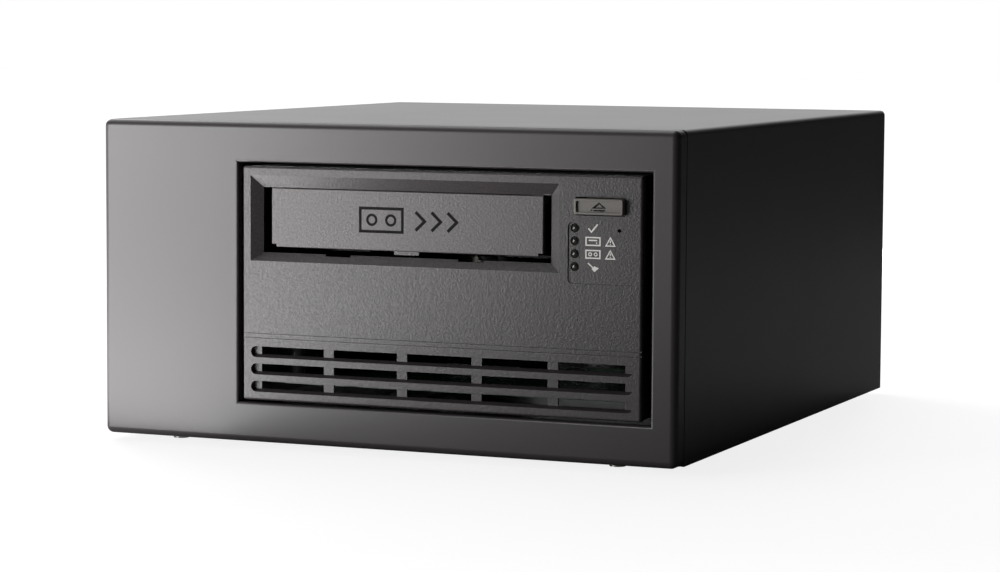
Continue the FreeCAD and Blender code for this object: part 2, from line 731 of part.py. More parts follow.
def grille_cuts():
    """Rows of shallow round-ended slots, each with windows through to the back."""
    cuts = []
    front = -BEZEL_PROUD
    x0 = BEZEL_X - GRILLE_W / 2
    x1 = BEZEL_X + GRILLE_W / 2
    first = x0 + GRILLE_END
    pitch = (GRILLE_W - 2 * GRILLE_END + RIB_W) / WINDOWS
    floor = front + GRILLE_DEPTH
    for row in range(GRILLE_ROWS):
        z = up(GRILLE_V0 + row * GRILLE_PITCH)
        low = z - GRILLE_H / 2
        high = z + GRILLE_H / 2
        sloped = [(front - PAST, low), (front, low), (floor, low + GRILLE_SLOPE), (floor, high)]
        sloped.append((front - PAST, high))
        row_shape = slot_y(x0, x1, front - PAST, floor, z, GRILLE_H)
        cuts.append(row_shape.common(extrude_x(sloped, x0 - PAST, x1 + PAST)))
        for i in range(WINDOWS):
            a = first + i * pitch
            b = a + pitch - RIB_W
            cuts.append(box(a, b, floor - EDGE_BAND, BEZEL_BACK + PAST, low + GRILLE_SLOPE, high))
    return cuts


def drive_bezel():
    front = -BEZEL_PROUD
    x1 = BEZEL_X0 + BEZEL_W
    z1 = BEZEL_Z0 + BEZEL_H
    plate = box(BEZEL_X0, x1, front, BEZEL_BACK, BEZEL_Z0, z1)
    limits = (BEZEL_X0 - PAST, x1 + PAST, BEZEL_Z0 - PAST, z1 + PAST)
    rounds = along(plate, Vector(0, 1, 0)) + edges_at(plate, front, limits)
    plate = plate.makeFillet(BEZEL_EDGE_R, rounds)
    cuts = [recess_funnel(), box(SLOT_X0, SLOT_X1, front - PAST, BEZEL_BACK + PAST, SLOT_Z0, SLOT_Z1)]
    for u in NOTCH_U:
        a = across(u - NOTCH_W / 2)
        low = SLOT_Z0 - NOTCH_DEPTH
        cuts.append(box(a, a + NOTCH_W, front - PAST, BEZEL_BACK + PAST, low, SLOT_Z0 + PAST))
    w = BUTTON_W / 2 + BUTTON_GAP
    h = BUTTON_H / 2 + BUTTON_GAP
    bx = across(BUTTON_U)
    bz = up(BUTTON_V)
    cuts.append(rounded_y(bx - w, bx + w, front - PAST, BEZEL_BACK + PAST, bz - h, bz + h, BUTTON_HOLE_R))
    a = across(LABEL_U0)
    b = up(LABEL_V0)
    cuts.append(rounded_y(a, a + LABEL_W, front - PAST, front + LABEL_DEPTH, b, b + LABEL_H, LABEL_R))
    for i in range(LED_COUNT):
        z = up(LED_V_TOP - i * LED_PITCH)
        cuts.append(cyl_y(across(LED_U), z, LED_HOLE_R, front - PAST, BEZEL_BACK + PAST))
    cuts.append(cyl_y(across(PINHOLE_U), up(PINHOLE_V), PINHOLE_R, front - PAST, BEZEL_BACK + PAST))
    for s in (-1, 1):
        z = up(STEP_V + s * STEP_PITCH / 2)
        g = STEP_GROOVE / 2
        cuts.append(box(BEZEL_X0 - PAST, x1 + PAST, front - PAST, front + STEP_DEPTH, z - g, z + g))
    plate = plate.cut(cuts).cut(grille_cuts())
    extras = []
    bores = []
    for u, v in BOARD_POSTS:
        extras.append(cyl_y(across(u), up(v), BOARD_POST_R, BEZEL_BACK - JOIN, FRONT_BOARD_Y))
    for a in (DOOR_X0 - LUG_GAP - LUG_W, DOOR_X1 + LUG_GAP):
        b = a + LUG_W
        extras.append(box(a, b, BEZEL_BACK - JOIN, PIVOT_Y + LUG_R, SLOT_Z1 + LUG_RISE, PIVOT_Z + LUG_R))
        bores.append(cyl_x(PIVOT_Y, PIVOT_Z, DOOR_PIN_R + RUN_FIT, a - PAST, b + PAST))
    save("drive_bezel", fuse([plate] + extras).cut(bores))


def tape_door():
    z0 = SLOT_Z0 + DOOR_BOTTOM_GAP
    z1 = SLOT_Z1 - DOOR_TOP_GAP
    plate = box(DOOR_X0, DOOR_X1, DOOR_Y0, DOOR_Y1, z0, z1)
    face = (DOOR_X0 - PAST, DOOR_X1 + PAST, z0 - PAST, z1 + PAST)
    plate = plate.makeFillet(DOOR_FACE_R, edges_at(plate, DOOR_Y0, face))
    notches = []
    for a in (DOOR_X0 - PAST, DOOR_X1 - DOOR_NOTCH_W):
        b = a + DOOR_NOTCH_W + PAST
        notches.append(box(a, b, DOOR_Y0 - PAST, DOOR_Y1 + PAST, z0 - PAST, z0 + DOOR_NOTCH_H))
    middle = (DOOR_X0 + DOOR_X1) / 2
    half = DOOR_TAB_W / 2
    top = z0 + DOOR_TAB_ROOT
    tab = box(middle - half, middle + half, DOOR_Y1 - DOOR_TAB_T, DOOR_Y1, z0 - DOOR_TAB_H, top)
    parts = [plate.cut(notches), tab]
    bores = []
    for a in (DOOR_X0, DOOR_X1 - DOOR_EAR_W):
        b = a + DOOR_EAR_W
        parts.append(cyl_x(PIVOT_Y, PIVOT_Z, DOOR_EAR_R, a, b))
        parts.append(box(a, b, PIVOT_Y - DOOR_EAR_R, PIVOT_Y + DOOR_EAR_R, z1 - DOOR_EAR_ROOT, PIVOT_Z))
        bores.append(cyl_x(PIVOT_Y, PIVOT_Z, DOOR_PIN_R + RUN_FIT, a - PAST, b + PAST))
    save("tape_door", fuse(parts).cut(bores))
    lug = LUG_GAP + LUG_W
    save("door_pin", cyl_x(PIVOT_Y, PIVOT_Z, DOOR_PIN_R, DOOR_X0 - lug, DOOR_X1 + lug))
    turns = SPRING_TURNS
    wire = SPRING_WIRE_R
    x0 = DOOR_X0 + DOOR_EAR_W + SPRING_INSET
    inner = DOOR_PIN_R + SPRING_GAP
    outline = [(x0, inner)]
    for i in range(turns):
        x = x0 + 2 * wire * i
        outline += [(x, inner + wire), (x + wire, inner + 2 * wire), (x + 2 * wire, inner + wire)]
    outline.append((x0 + 2 * wire * turns, inner))
    points = [Vector(x, PIVOT_Y + r, PIVOT_Z) for x, r in outline]
    section = Part.Face(Part.makePolygon(points + [points[0]]))
    save("door_spring", section.revolve(Vector(0, PIVOT_Y, PIVOT_Z), Vector(1, 0, 0), 360))


def eject_button():
    x = across(BUTTON_U)
    z = up(BUTTON_V)
    w = BUTTON_W / 2
    h = BUTTON_H / 2
    y0 = FRONT_MOST
    flange_y = BEZEL_BACK + BUTTON_FLANGE_GAP
    cap = rounded_y(x - w, x + w, y0, flange_y + JOIN, z - h, z + h, BUTTON_CORNER_R)
    face = (x - w - PAST, x + w + PAST, z - h - PAST, z + h + PAST)
    cap = cap.makeFillet(BUTTON_FACE_R, edges_at(cap, y0, face))
    w1 = w - BUTTON_RIM
    h1 = h - BUTTON_RIM
    floor = y0 + BUTTON_DISH
    dish = rounded_y(x - w1, x + w1, y0 - PAST, floor, z - h1, z + h1, BUTTON_DISH_R)
    base = z - MARK_BASE
    deep = floor + MARK_DEPTH
    triangle = [(x - MARK_HALF, base), (x + MARK_HALF, base), (x, base + MARK_H)]
    mark = extrude_y(triangle, floor - JOIN, deep)
    bar = box(x - MARK_HALF, x + MARK_HALF, floor - JOIN, deep, base - MARK_BAR[1], base - MARK_BAR[0])
    w += BUTTON_FLANGE
    h += BUTTON_FLANGE
    flange = box(x - w, x + w, flange_y, flange_y + BUTTON_FLANGE, z - h, z + h)
    dome_y = SWITCH_BODY_Y - SWITCH_DOME_L
    stem = cyl_y(x, z, BUTTON_STEM_R, flange_y, dome_y - SWITCH_GAP - BUTTON_TRAVEL)
    save("eject_button", fuse([cap.cut([dish, mark, bar]), flange, stem]))


def front_board():
    y = FRONT_BOARD_Y
    x0 = across(LABEL_U0) - BOARD_SIDE
    x1 = DRIVE_X1 - DRIVE_WALL - BOARD_EDGE_GAP
    top = DRIVE_TOP - DRIVE_LID_T - BOARD_TOP_GAP
    parts = [box(x0, x1, y, y + BOARD_T, DECK_Z + DECK_T + BOARD_DECK_GAP, top)]
    bx = across(BUTTON_U)
    bz = up(BUTTON_V)
    r = SWITCH_HALF
    parts.append(box(bx - r, bx + r, SWITCH_BODY_Y, y, bz - r, bz + r))
    parts.append(cyl_y(bx, bz, SWITCH_DOME_R, SWITCH_BODY_Y - SWITCH_DOME_L, SWITCH_BODY_Y))
    px = across(PINHOLE_U)
    pz = up(PINHOLE_V)
    r = RESET_HALF
    deep = SWITCH_BODY_Y + RESET_DEPTH
    reset = box(px - r, px + r, SWITCH_BODY_Y, y, pz - r, pz + r)
    parts.append(reset.cut(cyl_y(px, pz, PLUNGER_R + RUN_FIT, SWITCH_BODY_Y - PAST, deep)))
    r = LAMP_HALF
    for i in range(LED_COUNT):
        z = up(LED_V_TOP - i * LED_PITCH)
        parts.append(box(across(LED_U) - r, across(LED_U) + r, SWITCH_BODY_Y, y, z - r, z + r))
    save("front_board", fuse(parts))
    tip = SWITCH_BODY_Y - SWITCH_DOME_L
    save("reset_plunger", cyl_y(px, pz, PLUNGER_R, tip, deep - PLUNGER_TRAVEL - SWITCH_GAP))


def status_lenses():
    x = across(LED_U)
    parts = []
    front = -BEZEL_PROUD + LABEL_DEPTH
    for i in range(LED_COUNT):
        z = up(LED_V_TOP - i * LED_PITCH)
        rod = cyl_y(x, z, LED_R, front + LENS_STEP, SWITCH_BODY_Y)
        dome = Part.makeSphere(LED_R * LENS_DOME, Vector(x, front + LED_R * LENS_SINK, z))
        dome = dome.common(cyl_y(x, z, LED_R, front - LED_R, front + LED_R))
        parts.append(fuse([rod, dome]))
    low = up(LED_V_TOP - (LED_COUNT - 1) * LED_PITCH) - LED_R
    r = PIPE_BAR_HALF
    parts.append(box(x - r, x + r, PIPE_BAR_Y[0], PIPE_BAR_Y[1], low, up(LED_V_TOP) + LED_R))
    save("status_lenses", fuse(parts))


# ======== drive body ========

CASTING_Y0 = BEZEL_BACK
FLOOR_CLEAR = 0.3        # a turning or sliding piece above what carries it
RAIL_T = 2.6
RAIL_INSET = 0.1
POST_R = 3.5
ARM_BOSS_R = 4.0
ARM_PIN_R = 2.0
ARM_Z_RISE = 7.1         # arm above the reel's top flange
ARM_T = 2.0
ARM_START = -113.0       # parked arm's direction, degrees
HEAD_POST_PITCH = 12.0
HEAD_BLOCK_D = 8.0
HEAD_BLOCK_H = 20.0
HEAD_NOSE_D = 7.0
STEPPER_R = 4.2
STEPPER_H = 9.0
SPINDLE_R = 3.0
SUPPLY_SPINDLE_R = 2.5
SHOULDER_R = 5.5
DECK_TOP = DECK_Z + DECK_T
REEL_TOP = REEL_Z0 + REEL_H
ROLLER_Z0 = REEL_Z0 + 0.2
HEAD_Z0 = ROLLER_Z0 - 5.0
HEAD_POST_TOP = HEAD_Z0 + HEAD_BLOCK_H + HEAD_TRAVEL + 2.0
ARM_Z = REEL_TOP + ARM_Z_RISE
GEAR_BOSS_TOP = GEAR_Z - 2.0
CONNECTOR_D = 12.0
BUS_PLUG_W = 52.0
BUS_PLUG_X = 46.0
POWER_PLUG_X = -30.0
PLUG_H = 9.0
BOARD_Z = BEZEL_Z0 + 5.0
BOSS_R = 3.0
DECK_SETBACK = 6.0       # deck behind the bezel's back
ROLLER_CAP_R = 1.0       # a pin's cap wider than the pin
ROLLER_CAP_T = 1.0
ARM_CAP_R = 1.5
ARM_CAP_T = 1.2
GEAR_PIN_RISE = 2.5
LID_GAP_Y = 0.5
LID_RIB_HALF = 40.0
LID_RIB_Y = (60.0, 100.0, 140.0, 180.0)
LID_RIB_W = 2.0
LID_SKIN = 0.4
BOARD_INSET_X = 2.5
BOARD_INSET_FRONT = 8.0
BOARD_INSET_REAR = 1.0
POWER_PLUG_HALF = 11.0
CHIPS = ((0.0, 60.0, 28.0), (50.0, 70.0, 20.0), (10.0, 120.0, 24.0), (60.0, 130.0, 14.0))
CHIP_H = 2.2
BOARD_BOSS_X = 8.0
BOARD_BOSS_Y = (20.0, 26.0)


def board_bosses():
    xs = (DRIVE_X0 + BOARD_BOSS_X, DRIVE_X1 - BOARD_BOSS_X)
    ys = (CASTING_Y0 + BOARD_BOSS_Y[0], DRIVE_Y1 - BOARD_BOSS_Y[1])
    return [(x, y) for x in xs for y in ys]


def drive_casting():
    x0 = DRIVE_X0
    x1 = DRIVE_X1
    y0 = CASTING_Y0
    t = DRIVE_WALL
    top = DRIVE_TOP - DRIVE_LID_T
    walls = [box(x0, x0 + t, y0, DRIVE_Y1, BEZEL_Z0, top), box(x1 - t, x1, y0, DRIVE_Y1, BEZEL_Z0, top)]
    walls.append(box(x0, x1, DRIVE_Y1 - t, DRIVE_Y1, DECK_Z, top))
    walls.append(box(x0, x1, y0 + DECK_SETBACK, DRIVE_Y1, DECK_Z, DECK_TOP))
    root = DECK_TOP - JOIN
    pins = [cyl_z(x, y, BOSS_R, BOARD_Z + BOARD_T, DECK_Z + JOIN) for x, y in board_bosses()]
    for x, y in ROLLER_PLACES:
        z0 = ROLLER_Z0 - FLOOR_CLEAR
        z1 = ROLLER_Z0 + ROLLER_H + FLOOR_CLEAR
        pins.append(cyl_z(x, y, POST_R, root, z0))
        pins.append(cyl_z(x, y, ROLLER_PIN_R - RUN_FIT, z0, z1))
        pins.append(cyl_z(x, y, ROLLER_PIN_R + ROLLER_CAP_R, z1, z1 + ROLLER_CAP_T))
    z1 = ARM_Z + ARM_T + FLOOR_CLEAR
    pins.append(cyl_z(ARM_X, ARM_Y, ARM_BOSS_R, root, ARM_Z - FLOOR_CLEAR))
    pins.append(cyl_z(ARM_X, ARM_Y, ARM_PIN_R, ARM_Z - JOIN, z1))
    pins.append(cyl_z(ARM_X, ARM_Y, ARM_PIN_R + ARM_CAP_R, z1, z1 + ARM_CAP_T))
    pins.append(cyl_z(PINION_X, PINION_Y, POST_R, root, GEAR_BOSS_TOP))
    pins.append(cyl_z(PINION_X, PINION_Y, SHAFT_R, GEAR_BOSS_TOP - JOIN, RACK_Z + GEAR_T + GEAR_PIN_RISE))
    for s in (-1, 1):
        x = HEAD_X + s * HEAD_POST_PITCH / 2
        pins.append(cyl_z(x, HEAD_Y, SHAFT_R, root, HEAD_POST_TOP))
    screws = [cyl_x(y, SIDE_SCREW_Z, SCREW_R + SCREW_CLEAR, x0 - PAST, x1 + PAST) for y in SIDE_SCREW_Y]
    save("drive_casting", fuse(walls + pins).cut(screws))
    lid = box(x0, x1, y0 + LID_GAP_Y, DRIVE_Y1, top, DRIVE_TOP)
    half = LID_RIB_HALF
    z0 = top + LID_SKIN
    ribs = [box(SLOT_X - half, SLOT_X + half, y, y + LID_RIB_W, z0, DRIVE_TOP + PAST) for y in LID_RIB_Y]
    save("drive_lid", lid.cut(ribs))


def main_board():
    x0 = DRIVE_X0 + BOARD_INSET_X
    x1 = DRIVE_X1 - BOARD_INSET_X
    z = BOARD_Z + BOARD_T
    parts = [box(x0, x1, CASTING_Y0 + BOARD_INSET_FRONT, DRIVE_Y1 - BOARD_INSET_REAR, BOARD_Z, z)]
    y1 = DRIVE_Y1 + CONNECTOR_D / 2
    y0 = DRIVE_Y1 - CONNECTOR_D / 2
    for x, w in ((BUS_PLUG_X, BUS_PLUG_W / 2), (POWER_PLUG_X, POWER_PLUG_HALF)):
        parts.append(box(x - w, x + w, y0, y1, z, z + PLUG_H))
    for x, y, side in CHIPS:
        parts.append(box(x, x + side, y, y + side, z, z + CHIP_H))
    save("main_board", fuse(parts))


RAIL_WINDOWS = 3
RAIL_WINDOW_Y = 8.0
RAIL_WINDOW_L = 26.0
RAIL_WINDOW_PITCH = 34.0
RAIL_FOOT_H = 5.0
RAIL_HEAD_H = 7.0
TRAY_PIN_TOP = 5.0       # pins below the cartridge's top
TRAY_PIN_CLEAR = 0.3
TRAY_STOP_H = 7.0
TRAY_STOP_INSET = 20.0
TRAY_WINDOW = 30.0
TRAY_WINDOW_END = 12.0
SLED_FRONT_INSET = 1.0
BRIDGE_Y = (28.0, 4.0)   # sled bridge, from the tray's rear end
PIN_ROOT = 0.2           # how far a pin reaches into the tray's side


def loader():
    """Guide rails, the sled that slides on them and the tray that drops inside the sled."""
    y1 = REEL_Y - REEL_R - RAIL_REEL_GAP
    for name, s in (("carrier_rail_left", -1), ("carrier_rail_right", 1)):
        inner = SLOT_X + s * (SLED_IN - RAIL_INSET)
        a = min(inner, inner + s * RAIL_T)
        b = a + RAIL_T
        rail = box(a, b, TRAY_Y0, y1, DECK_TOP, SLED_Z0 - RAIL_GAP)
        windows = []
        for i in range(RAIL_WINDOWS):
            y = TRAY_Y0 + RAIL_WINDOW_Y + i * RAIL_WINDOW_PITCH
            z0 = DECK_TOP + RAIL_FOOT_H
            z1 = SLED_Z0 - RAIL_HEAD_H
            windows.append(box(a - PAST, b + PAST, y, y + RAIL_WINDOW_L, z0, z1))
        save(name, rail.cut(windows))
    pin_z = CART_Z + CART_H - TRAY_PIN_TOP
    pin_y = (TRAY_Y0 + TRAY_PIN_INSET, TRAY_Y1 - TRAY_PIN_INSET)
    r = TRAY_PIN_R + RUN_FIT
    sides = []
    for s in (-1, 1):
        a = min(SLOT_X + s * SLED_IN, SLOT_X + s * SLED_OUT)
        b = a + SLED_T
        plate = box(a, b, TRAY_Y0 + SLED_FRONT_INSET, TRAY_Y1, SLED_Z0, SLED_Z1)
        slots = []
        for y in pin_y:
            slots.append(cyl_x(y, pin_z, r, a - PAST, b + PAST))
            slots.append(cyl_x(y, pin_z - TRAY_DROP, r, a - PAST, b + PAST))
            slots.append(box(a - PAST, b + PAST, y - r, y + r, pin_z - TRAY_DROP, pin_z))
        sides.append(plate.cut(slots))
    y0 = TRAY_Y1 - BRIDGE_Y[0]
    y1 = TRAY_Y1 - BRIDGE_Y[1]
    bridge = box(SLOT_X - SLED_OUT, SLOT_X + SLED_OUT, y0, y1, SLED_Z1, SLED_Z1 + SLED_T)
    save("loader_sled", fuse(sides + [bridge, rack()]))
    a = SLOT_X - TRAY_HALF
    b = SLOT_X + TRAY_HALF
    t = TRAY_T
    low = TRAY_Z0 + t
    high = TRAY_Z1 - t
    parts = [box(a - t, b + t, TRAY_Y0, TRAY_Y1, high, TRAY_Z1)]
    parts.append(box(a - t, a, TRAY_Y0, TRAY_Y1, TRAY_Z0, TRAY_Z1))
    parts.append(box(b, b + t, TRAY_Y0, TRAY_Y1, TRAY_Z0, TRAY_Z1))
    parts.append(box(a - t, a + TRAY_LEDGE, TRAY_Y0, TRAY_Y1, TRAY_Z0, low))
    parts.append(box(b - TRAY_LEDGE, b + t, TRAY_Y0, TRAY_Y1, TRAY_Z0, low))
    stop = TRAY_STOP_INSET
    parts.append(box(a + stop, b - stop, TRAY_Y1 - t, TRAY_Y1, high - TRAY_STOP_H, TRAY_Z1))
    for y in pin_y:
        parts.append(cyl_x(y, pin_z, TRAY_PIN_R, SLOT_X - SLED_OUT + TRAY_PIN_CLEAR, a - t + PIN_ROOT))
        parts.append(cyl_x(y, pin_z, TRAY_PIN_R, b + t - PIN_ROOT, SLOT_X + SLED_OUT - TRAY_PIN_CLEAR))
    side = TRAY_WINDOW
    end = TRAY_WINDOW_END
    window = box(a + side, b - side, TRAY_Y0 + end, TRAY_Y1 - end, high - PAST, TRAY_Z1 + PAST)
    save("cartridge_tray", fuse(parts).cut(window))


# ======== gears ========

ADDENDUM = 0.9
DEDENDUM = 1.25
FLANK_POINTS = 4
TOOTH_PITCH = pi * MODULE
RACK_LAST = 2            # last rack tooth, counted from the pinion
GEAR_NECK_R = 5.0
PINION_LIP = 0.5         # a pinion is this much longer than its mate at each end
MOTOR_SHAFT_R = 1.0
MOTOR_SHAFT_DEPTH = 11.5
MOTOR_SHAFT_FLOOR = 0.5
MOTOR_TOP_GAP = 2.5


def involute(angle):
    return tan(angle) - angle


def gear_disc(teeth, x, y, z0, z1, tooth_at):
    """A spur gear with one tooth centred on the direction tooth_at, in degrees."""
    pitch_r = MODULE * teeth / 2
    base_r = pitch_r * cos(radians(PRESSURE_ANGLE))
    tip_r = pitch_r + ADDENDUM * MODULE
    root_r = pitch_r - DEDENDUM * MODULE
    start_r = max(base_r, root_r)
    half_pitch = pi / (2 * teeth) - BACKLASH / (4 * pitch_r)
    half_base = half_pitch + involute(radians(PRESSURE_ANGLE))
    flank = [(root_r, half_base)] if root_r < base_r else []
    for i in range(FLANK_POINTS):
        r = start_r + (tip_r - start_r) * i / (FLANK_POINTS - 1)
        flank.append((r, half_base - involute(acos(base_r / r))))
    outline = []
    for i in range(teeth):
        centre = radians(tooth_at) + 2 * pi * i / teeth
        for r, offset in flank:
            outline.append((x + r * cos(centre - offset), y + r * sin(centre - offset)))
        for r, offset in reversed(flank):
            outline.append((x + r * cos(centre + offset), y + r * sin(centre + offset)))
    return extrude_z(outline, z0, z1)


def rack():
    """Straight teeth beside the sled's right plate; the pinion's tooth sits in one of its gaps."""
    inner = SLOT_X + SLED_OUT - PIN_ROOT
    root_x = RACK_X - DEDENDUM * MODULE
    tip_x = RACK_X + ADDENDUM * MODULE
    slope = tan(radians(PRESSURE_ANGLE))
    half = TOOTH_PITCH / 4 - BACKLASH / 4
    last = RACK_LAST
    first = last - RACK_TEETH + 1
    outline = []
    for k in range(first, last + 1):
        y = PINION_Y + (k + 0.5) * TOOTH_PITCH
        wide = half + DEDENDUM * MODULE * slope
        thin = half - ADDENDUM * MODULE * slope
        outline += [(root_x, y - wide), (tip_x, y - thin), (tip_x, y + thin), (root_x, y + wide)]
    y0 = PINION_Y + first * TOOTH_PITCH
    y1 = PINION_Y + (last + 1) * TOOTH_PITCH
    outline = [(inner, y0), (root_x, y0)] + outline + [(root_x, y1), (inner, y1)]
    return extrude_z(outline, RACK_Z, RACK_Z + GEAR_T)


def load_drive():
    rim = gear_disc(GEAR_TEETH, PINION_X, PINION_Y, GEAR_Z, GEAR_Z + GEAR_T, 90 + 180 / GEAR_TEETH)
    neck = cyl_z(PINION_X, PINION_Y, GEAR_NECK_R, GEAR_Z, RACK_Z)
    top = RACK_Z + GEAR_T + PINION_LIP
    pinion = gear_disc(PINION_TEETH, PINION_X, PINION_Y, RACK_Z - PINION_LIP, top, 180)
    bore = cyl_z(PINION_X, PINION_Y, SHAFT_R + RUN_FIT, GEAR_Z - PAST, top + PAST)
    save("load_gear", fuse([rim, neck, pinion]).cut(bore))
    can_top = GEAR_Z - MOTOR_TOP_GAP
    can = cyl_z(PINION_X, MOTOR_Y, MOTOR_R, DECK_TOP, can_top)
    shaft_z = can_top - MOTOR_SHAFT_DEPTH
    well = cyl_z(PINION_X, MOTOR_Y, MOTOR_SHAFT_R + RUN_FIT, shaft_z - MOTOR_SHAFT_FLOOR, can_top + PAST)
    save("load_motor", can.cut(well))
    top = GEAR_Z + GEAR_T + PINION_LIP
    pinion = gear_disc(MOTOR_TEETH, PINION_X, MOTOR_Y, GEAR_Z - PINION_LIP, top, 270)
    save("motor_pinion", fuse([pinion, cyl_z(PINION_X, MOTOR_Y, MOTOR_SHAFT_R, shaft_z, top)]))


# ======== reels, rollers and head ========

HUB_DISC_T = 2.0
HUB_NOSE_R = 11.0
HUB_TEETH = 12
HUB_TOOTH_X = (8.0, 12.0)
HUB_TOOTH_HALF = 0.9
HUB_TOOTH_H = 1.5
SHOULDER_H = 1.5
SPINDLE_END = 1.0
REEL_SHOULDER_H = 3.0
REEL_HOLES = 3
REEL_HOLE_R = 5.0
REEL_HOLE_PLACE = 13.0   # centre of a reel hole from the reel's axis
ROLLER_RIM = 0.9         # rim wider than the barrel
ROLLER_RIM_T = 1.0
HEAD_SIDE = 3.5          # head block beyond its posts
HEAD_NOSE_INSET = 2.0
HEAD_NOSE_R = 3.0
HEAD_SCREW_FOOT = 1.3
STEPPER_FLOOR = 1.0
ARM_HALF = 3.0
ARM_EYE_R = 5.5
ARM_TIP_R = 3.5
ARM_PEG_R = 1.6
ARM_PEG_RISE = 3.5       # peg's lower end above the reel


def reels():
    hub_top = LOW_CART_Z + HUB_RISE
    hub_z = hub_top - HUB_T - HUB_DISC_T
    shoulder = hub_z - FLOOR_CLEAR
    can = [cyl_z(SLOT_X, HUB_Y, MOTOR_CAN_R, DECK_TOP, shoulder - SHOULDER_H)]
    can.append(cyl_z(SLOT_X, HUB_Y, SHOULDER_R, shoulder - SHOULDER_H - JOIN, shoulder))
    can.append(cyl_z(SLOT_X, HUB_Y, SUPPLY_SPINDLE_R, shoulder - JOIN, hub_top - SPINDLE_END))
    save("supply_motor", fuse(can))
    hub = [cyl_z(SLOT_X, HUB_Y, HUB_R, hub_z, hub_z + HUB_DISC_T)]
    hub.append(cyl_z(SLOT_X, HUB_Y, HUB_NOSE_R, hub_z, hub_top))
    bore = cyl_z(SLOT_X, HUB_Y, SUPPLY_SPINDLE_R + RUN_FIT, hub_z - PAST, hub_top + PAST)
    x0 = SLOT_X + HUB_TOOTH_X[0]
    x1 = SLOT_X + HUB_TOOTH_X[1]
    half = HUB_TOOTH_HALF
    gap = box(x0, x1, HUB_Y - half, HUB_Y + half, hub_top - HUB_TOOTH_H, hub_top + PAST)
    centre = Vector(SLOT_X, HUB_Y, 0)
    teeth = [turned(gap, centre, Vector(0, 0, 1), i * 360 / HUB_TEETH) for i in range(HUB_TEETH)]
    save("supply_hub", fuse(hub).cut([bore] + teeth))
    shoulder = REEL_Z0 - FLOOR_CLEAR
    can = [cyl_z(REEL_X, REEL_Y, MOTOR_CAN_R, DECK_TOP, shoulder - REEL_SHOULDER_H)]
    can.append(cyl_z(REEL_X, REEL_Y, SHOULDER_R, shoulder - REEL_SHOULDER_H - JOIN, shoulder))
    can.append(cyl_z(REEL_X, REEL_Y, SPINDLE_R, shoulder - JOIN, REEL_TOP + SPINDLE_END))
    save("takeup_motor", fuse(can))
    f = REEL_FLANGE_T
    parts = [cyl_z(REEL_X, REEL_Y, REEL_CORE_R, REEL_Z0, REEL_TOP)]
    for z in (REEL_Z0, REEL_TOP - f):
        parts.append(cyl_z(REEL_X, REEL_Y, REEL_R, z, z + f))
    bore = cyl_z(REEL_X, REEL_Y, SPINDLE_R + RUN_FIT, REEL_Z0 - PAST, REEL_TOP + PAST)
    hole = cyl_z(REEL_X + REEL_HOLE_PLACE, REEL_Y, REEL_HOLE_R, REEL_Z0 - PAST, REEL_TOP + PAST)
    centre = Vector(REEL_X, REEL_Y, 0)
    windows = [turned(hole, centre, Vector(0, 0, 1), i * 360 / REEL_HOLES) for i in range(REEL_HOLES)]
    save("takeup_reel", fuse(parts).cut([bore] + windows))


def tape_rollers():
    z0 = ROLLER_Z0
    z1 = ROLLER_Z0 + ROLLER_H
    for i, (x, y) in enumerate(ROLLER_PLACES):
        barrel = cyl_z(x, y, ROLLER_R - ROLLER_RIM, z0, z1)
        rims = [cyl_z(x, y, ROLLER_R, z0, z0 + ROLLER_RIM_T), cyl_z(x, y, ROLLER_R, z1 - ROLLER_RIM_T, z1)]
        bore = cyl_z(x, y, ROLLER_PIN_R, z0 - PAST, z1 + PAST)
        save("guide_roller_" + str(i + 1), fuse([barrel] + rims).cut(bore))


def head_group():
    z0 = HEAD_Z0
    z1 = z0 + HEAD_BLOCK_H
    half = HEAD_POST_PITCH / 2 + HEAD_SIDE
    d = HEAD_BLOCK_D / 2
    block = box(HEAD_X - half, HEAD_X + half, HEAD_Y - d, HEAD_Y + d, z0, z1)
    w = HEAD_W / 2
    inset = HEAD_NOSE_INSET
    front = HEAD_Y - d - HEAD_NOSE_D
    nose = box(HEAD_X - w, HEAD_X + w, front, HEAD_Y - d, z0 + inset, z1 - inset)
    corners = [e for e in along(nose, Vector(0, 0, 1)) if e.BoundBox.YMax < front + JOIN]
    nose = nose.makeFillet(HEAD_NOSE_R, corners)
    r = SHAFT_R + RUN_FIT
    places = [HEAD_X + s * HEAD_POST_PITCH / 2 for s in (-1, 0, 1)]
    bores = [cyl_z(x, HEAD_Y, r, z0 - PAST, z1 + PAST) for x in places]
    save("head_carriage", fuse([block, nose]).cut(bores))
    top = DECK_TOP + STEPPER_H
    can = cyl_z(HEAD_X, HEAD_Y, STEPPER_R, DECK_TOP, top)
    save("head_stepper", can.cut(cyl_z(HEAD_X, HEAD_Y, r, DECK_TOP + STEPPER_FLOOR, top + PAST)))
    save("head_screw", cyl_z(HEAD_X, HEAD_Y, SHAFT_R, DECK_TOP + HEAD_SCREW_FOOT, HEAD_POST_TOP))


def threading_arm():
    z1 = ARM_Z + ARM_T
    x1 = ARM_X + ARM_L
    parts = [box(ARM_X, x1, ARM_Y - ARM_HALF, ARM_Y + ARM_HALF, ARM_Z, z1)]
    parts.append(cyl_z(ARM_X, ARM_Y, ARM_EYE_R, ARM_Z, z1))
    parts.append(cyl_z(x1, ARM_Y, ARM_TIP_R, ARM_Z, z1))
    parts.append(cyl_z(x1, ARM_Y, ARM_PEG_R, REEL_TOP + ARM_PEG_RISE, z1))
    arm = fuse(parts).cut(cyl_z(ARM_X, ARM_Y, ARM_PIN_R + RUN_FIT, ARM_Z - PAST, z1 + PAST))
    save("threading_arm", turned(arm, Vector(ARM_X, ARM_Y, 0), Vector(0, 0, 1), ARM_START))


# ======== power supply ========

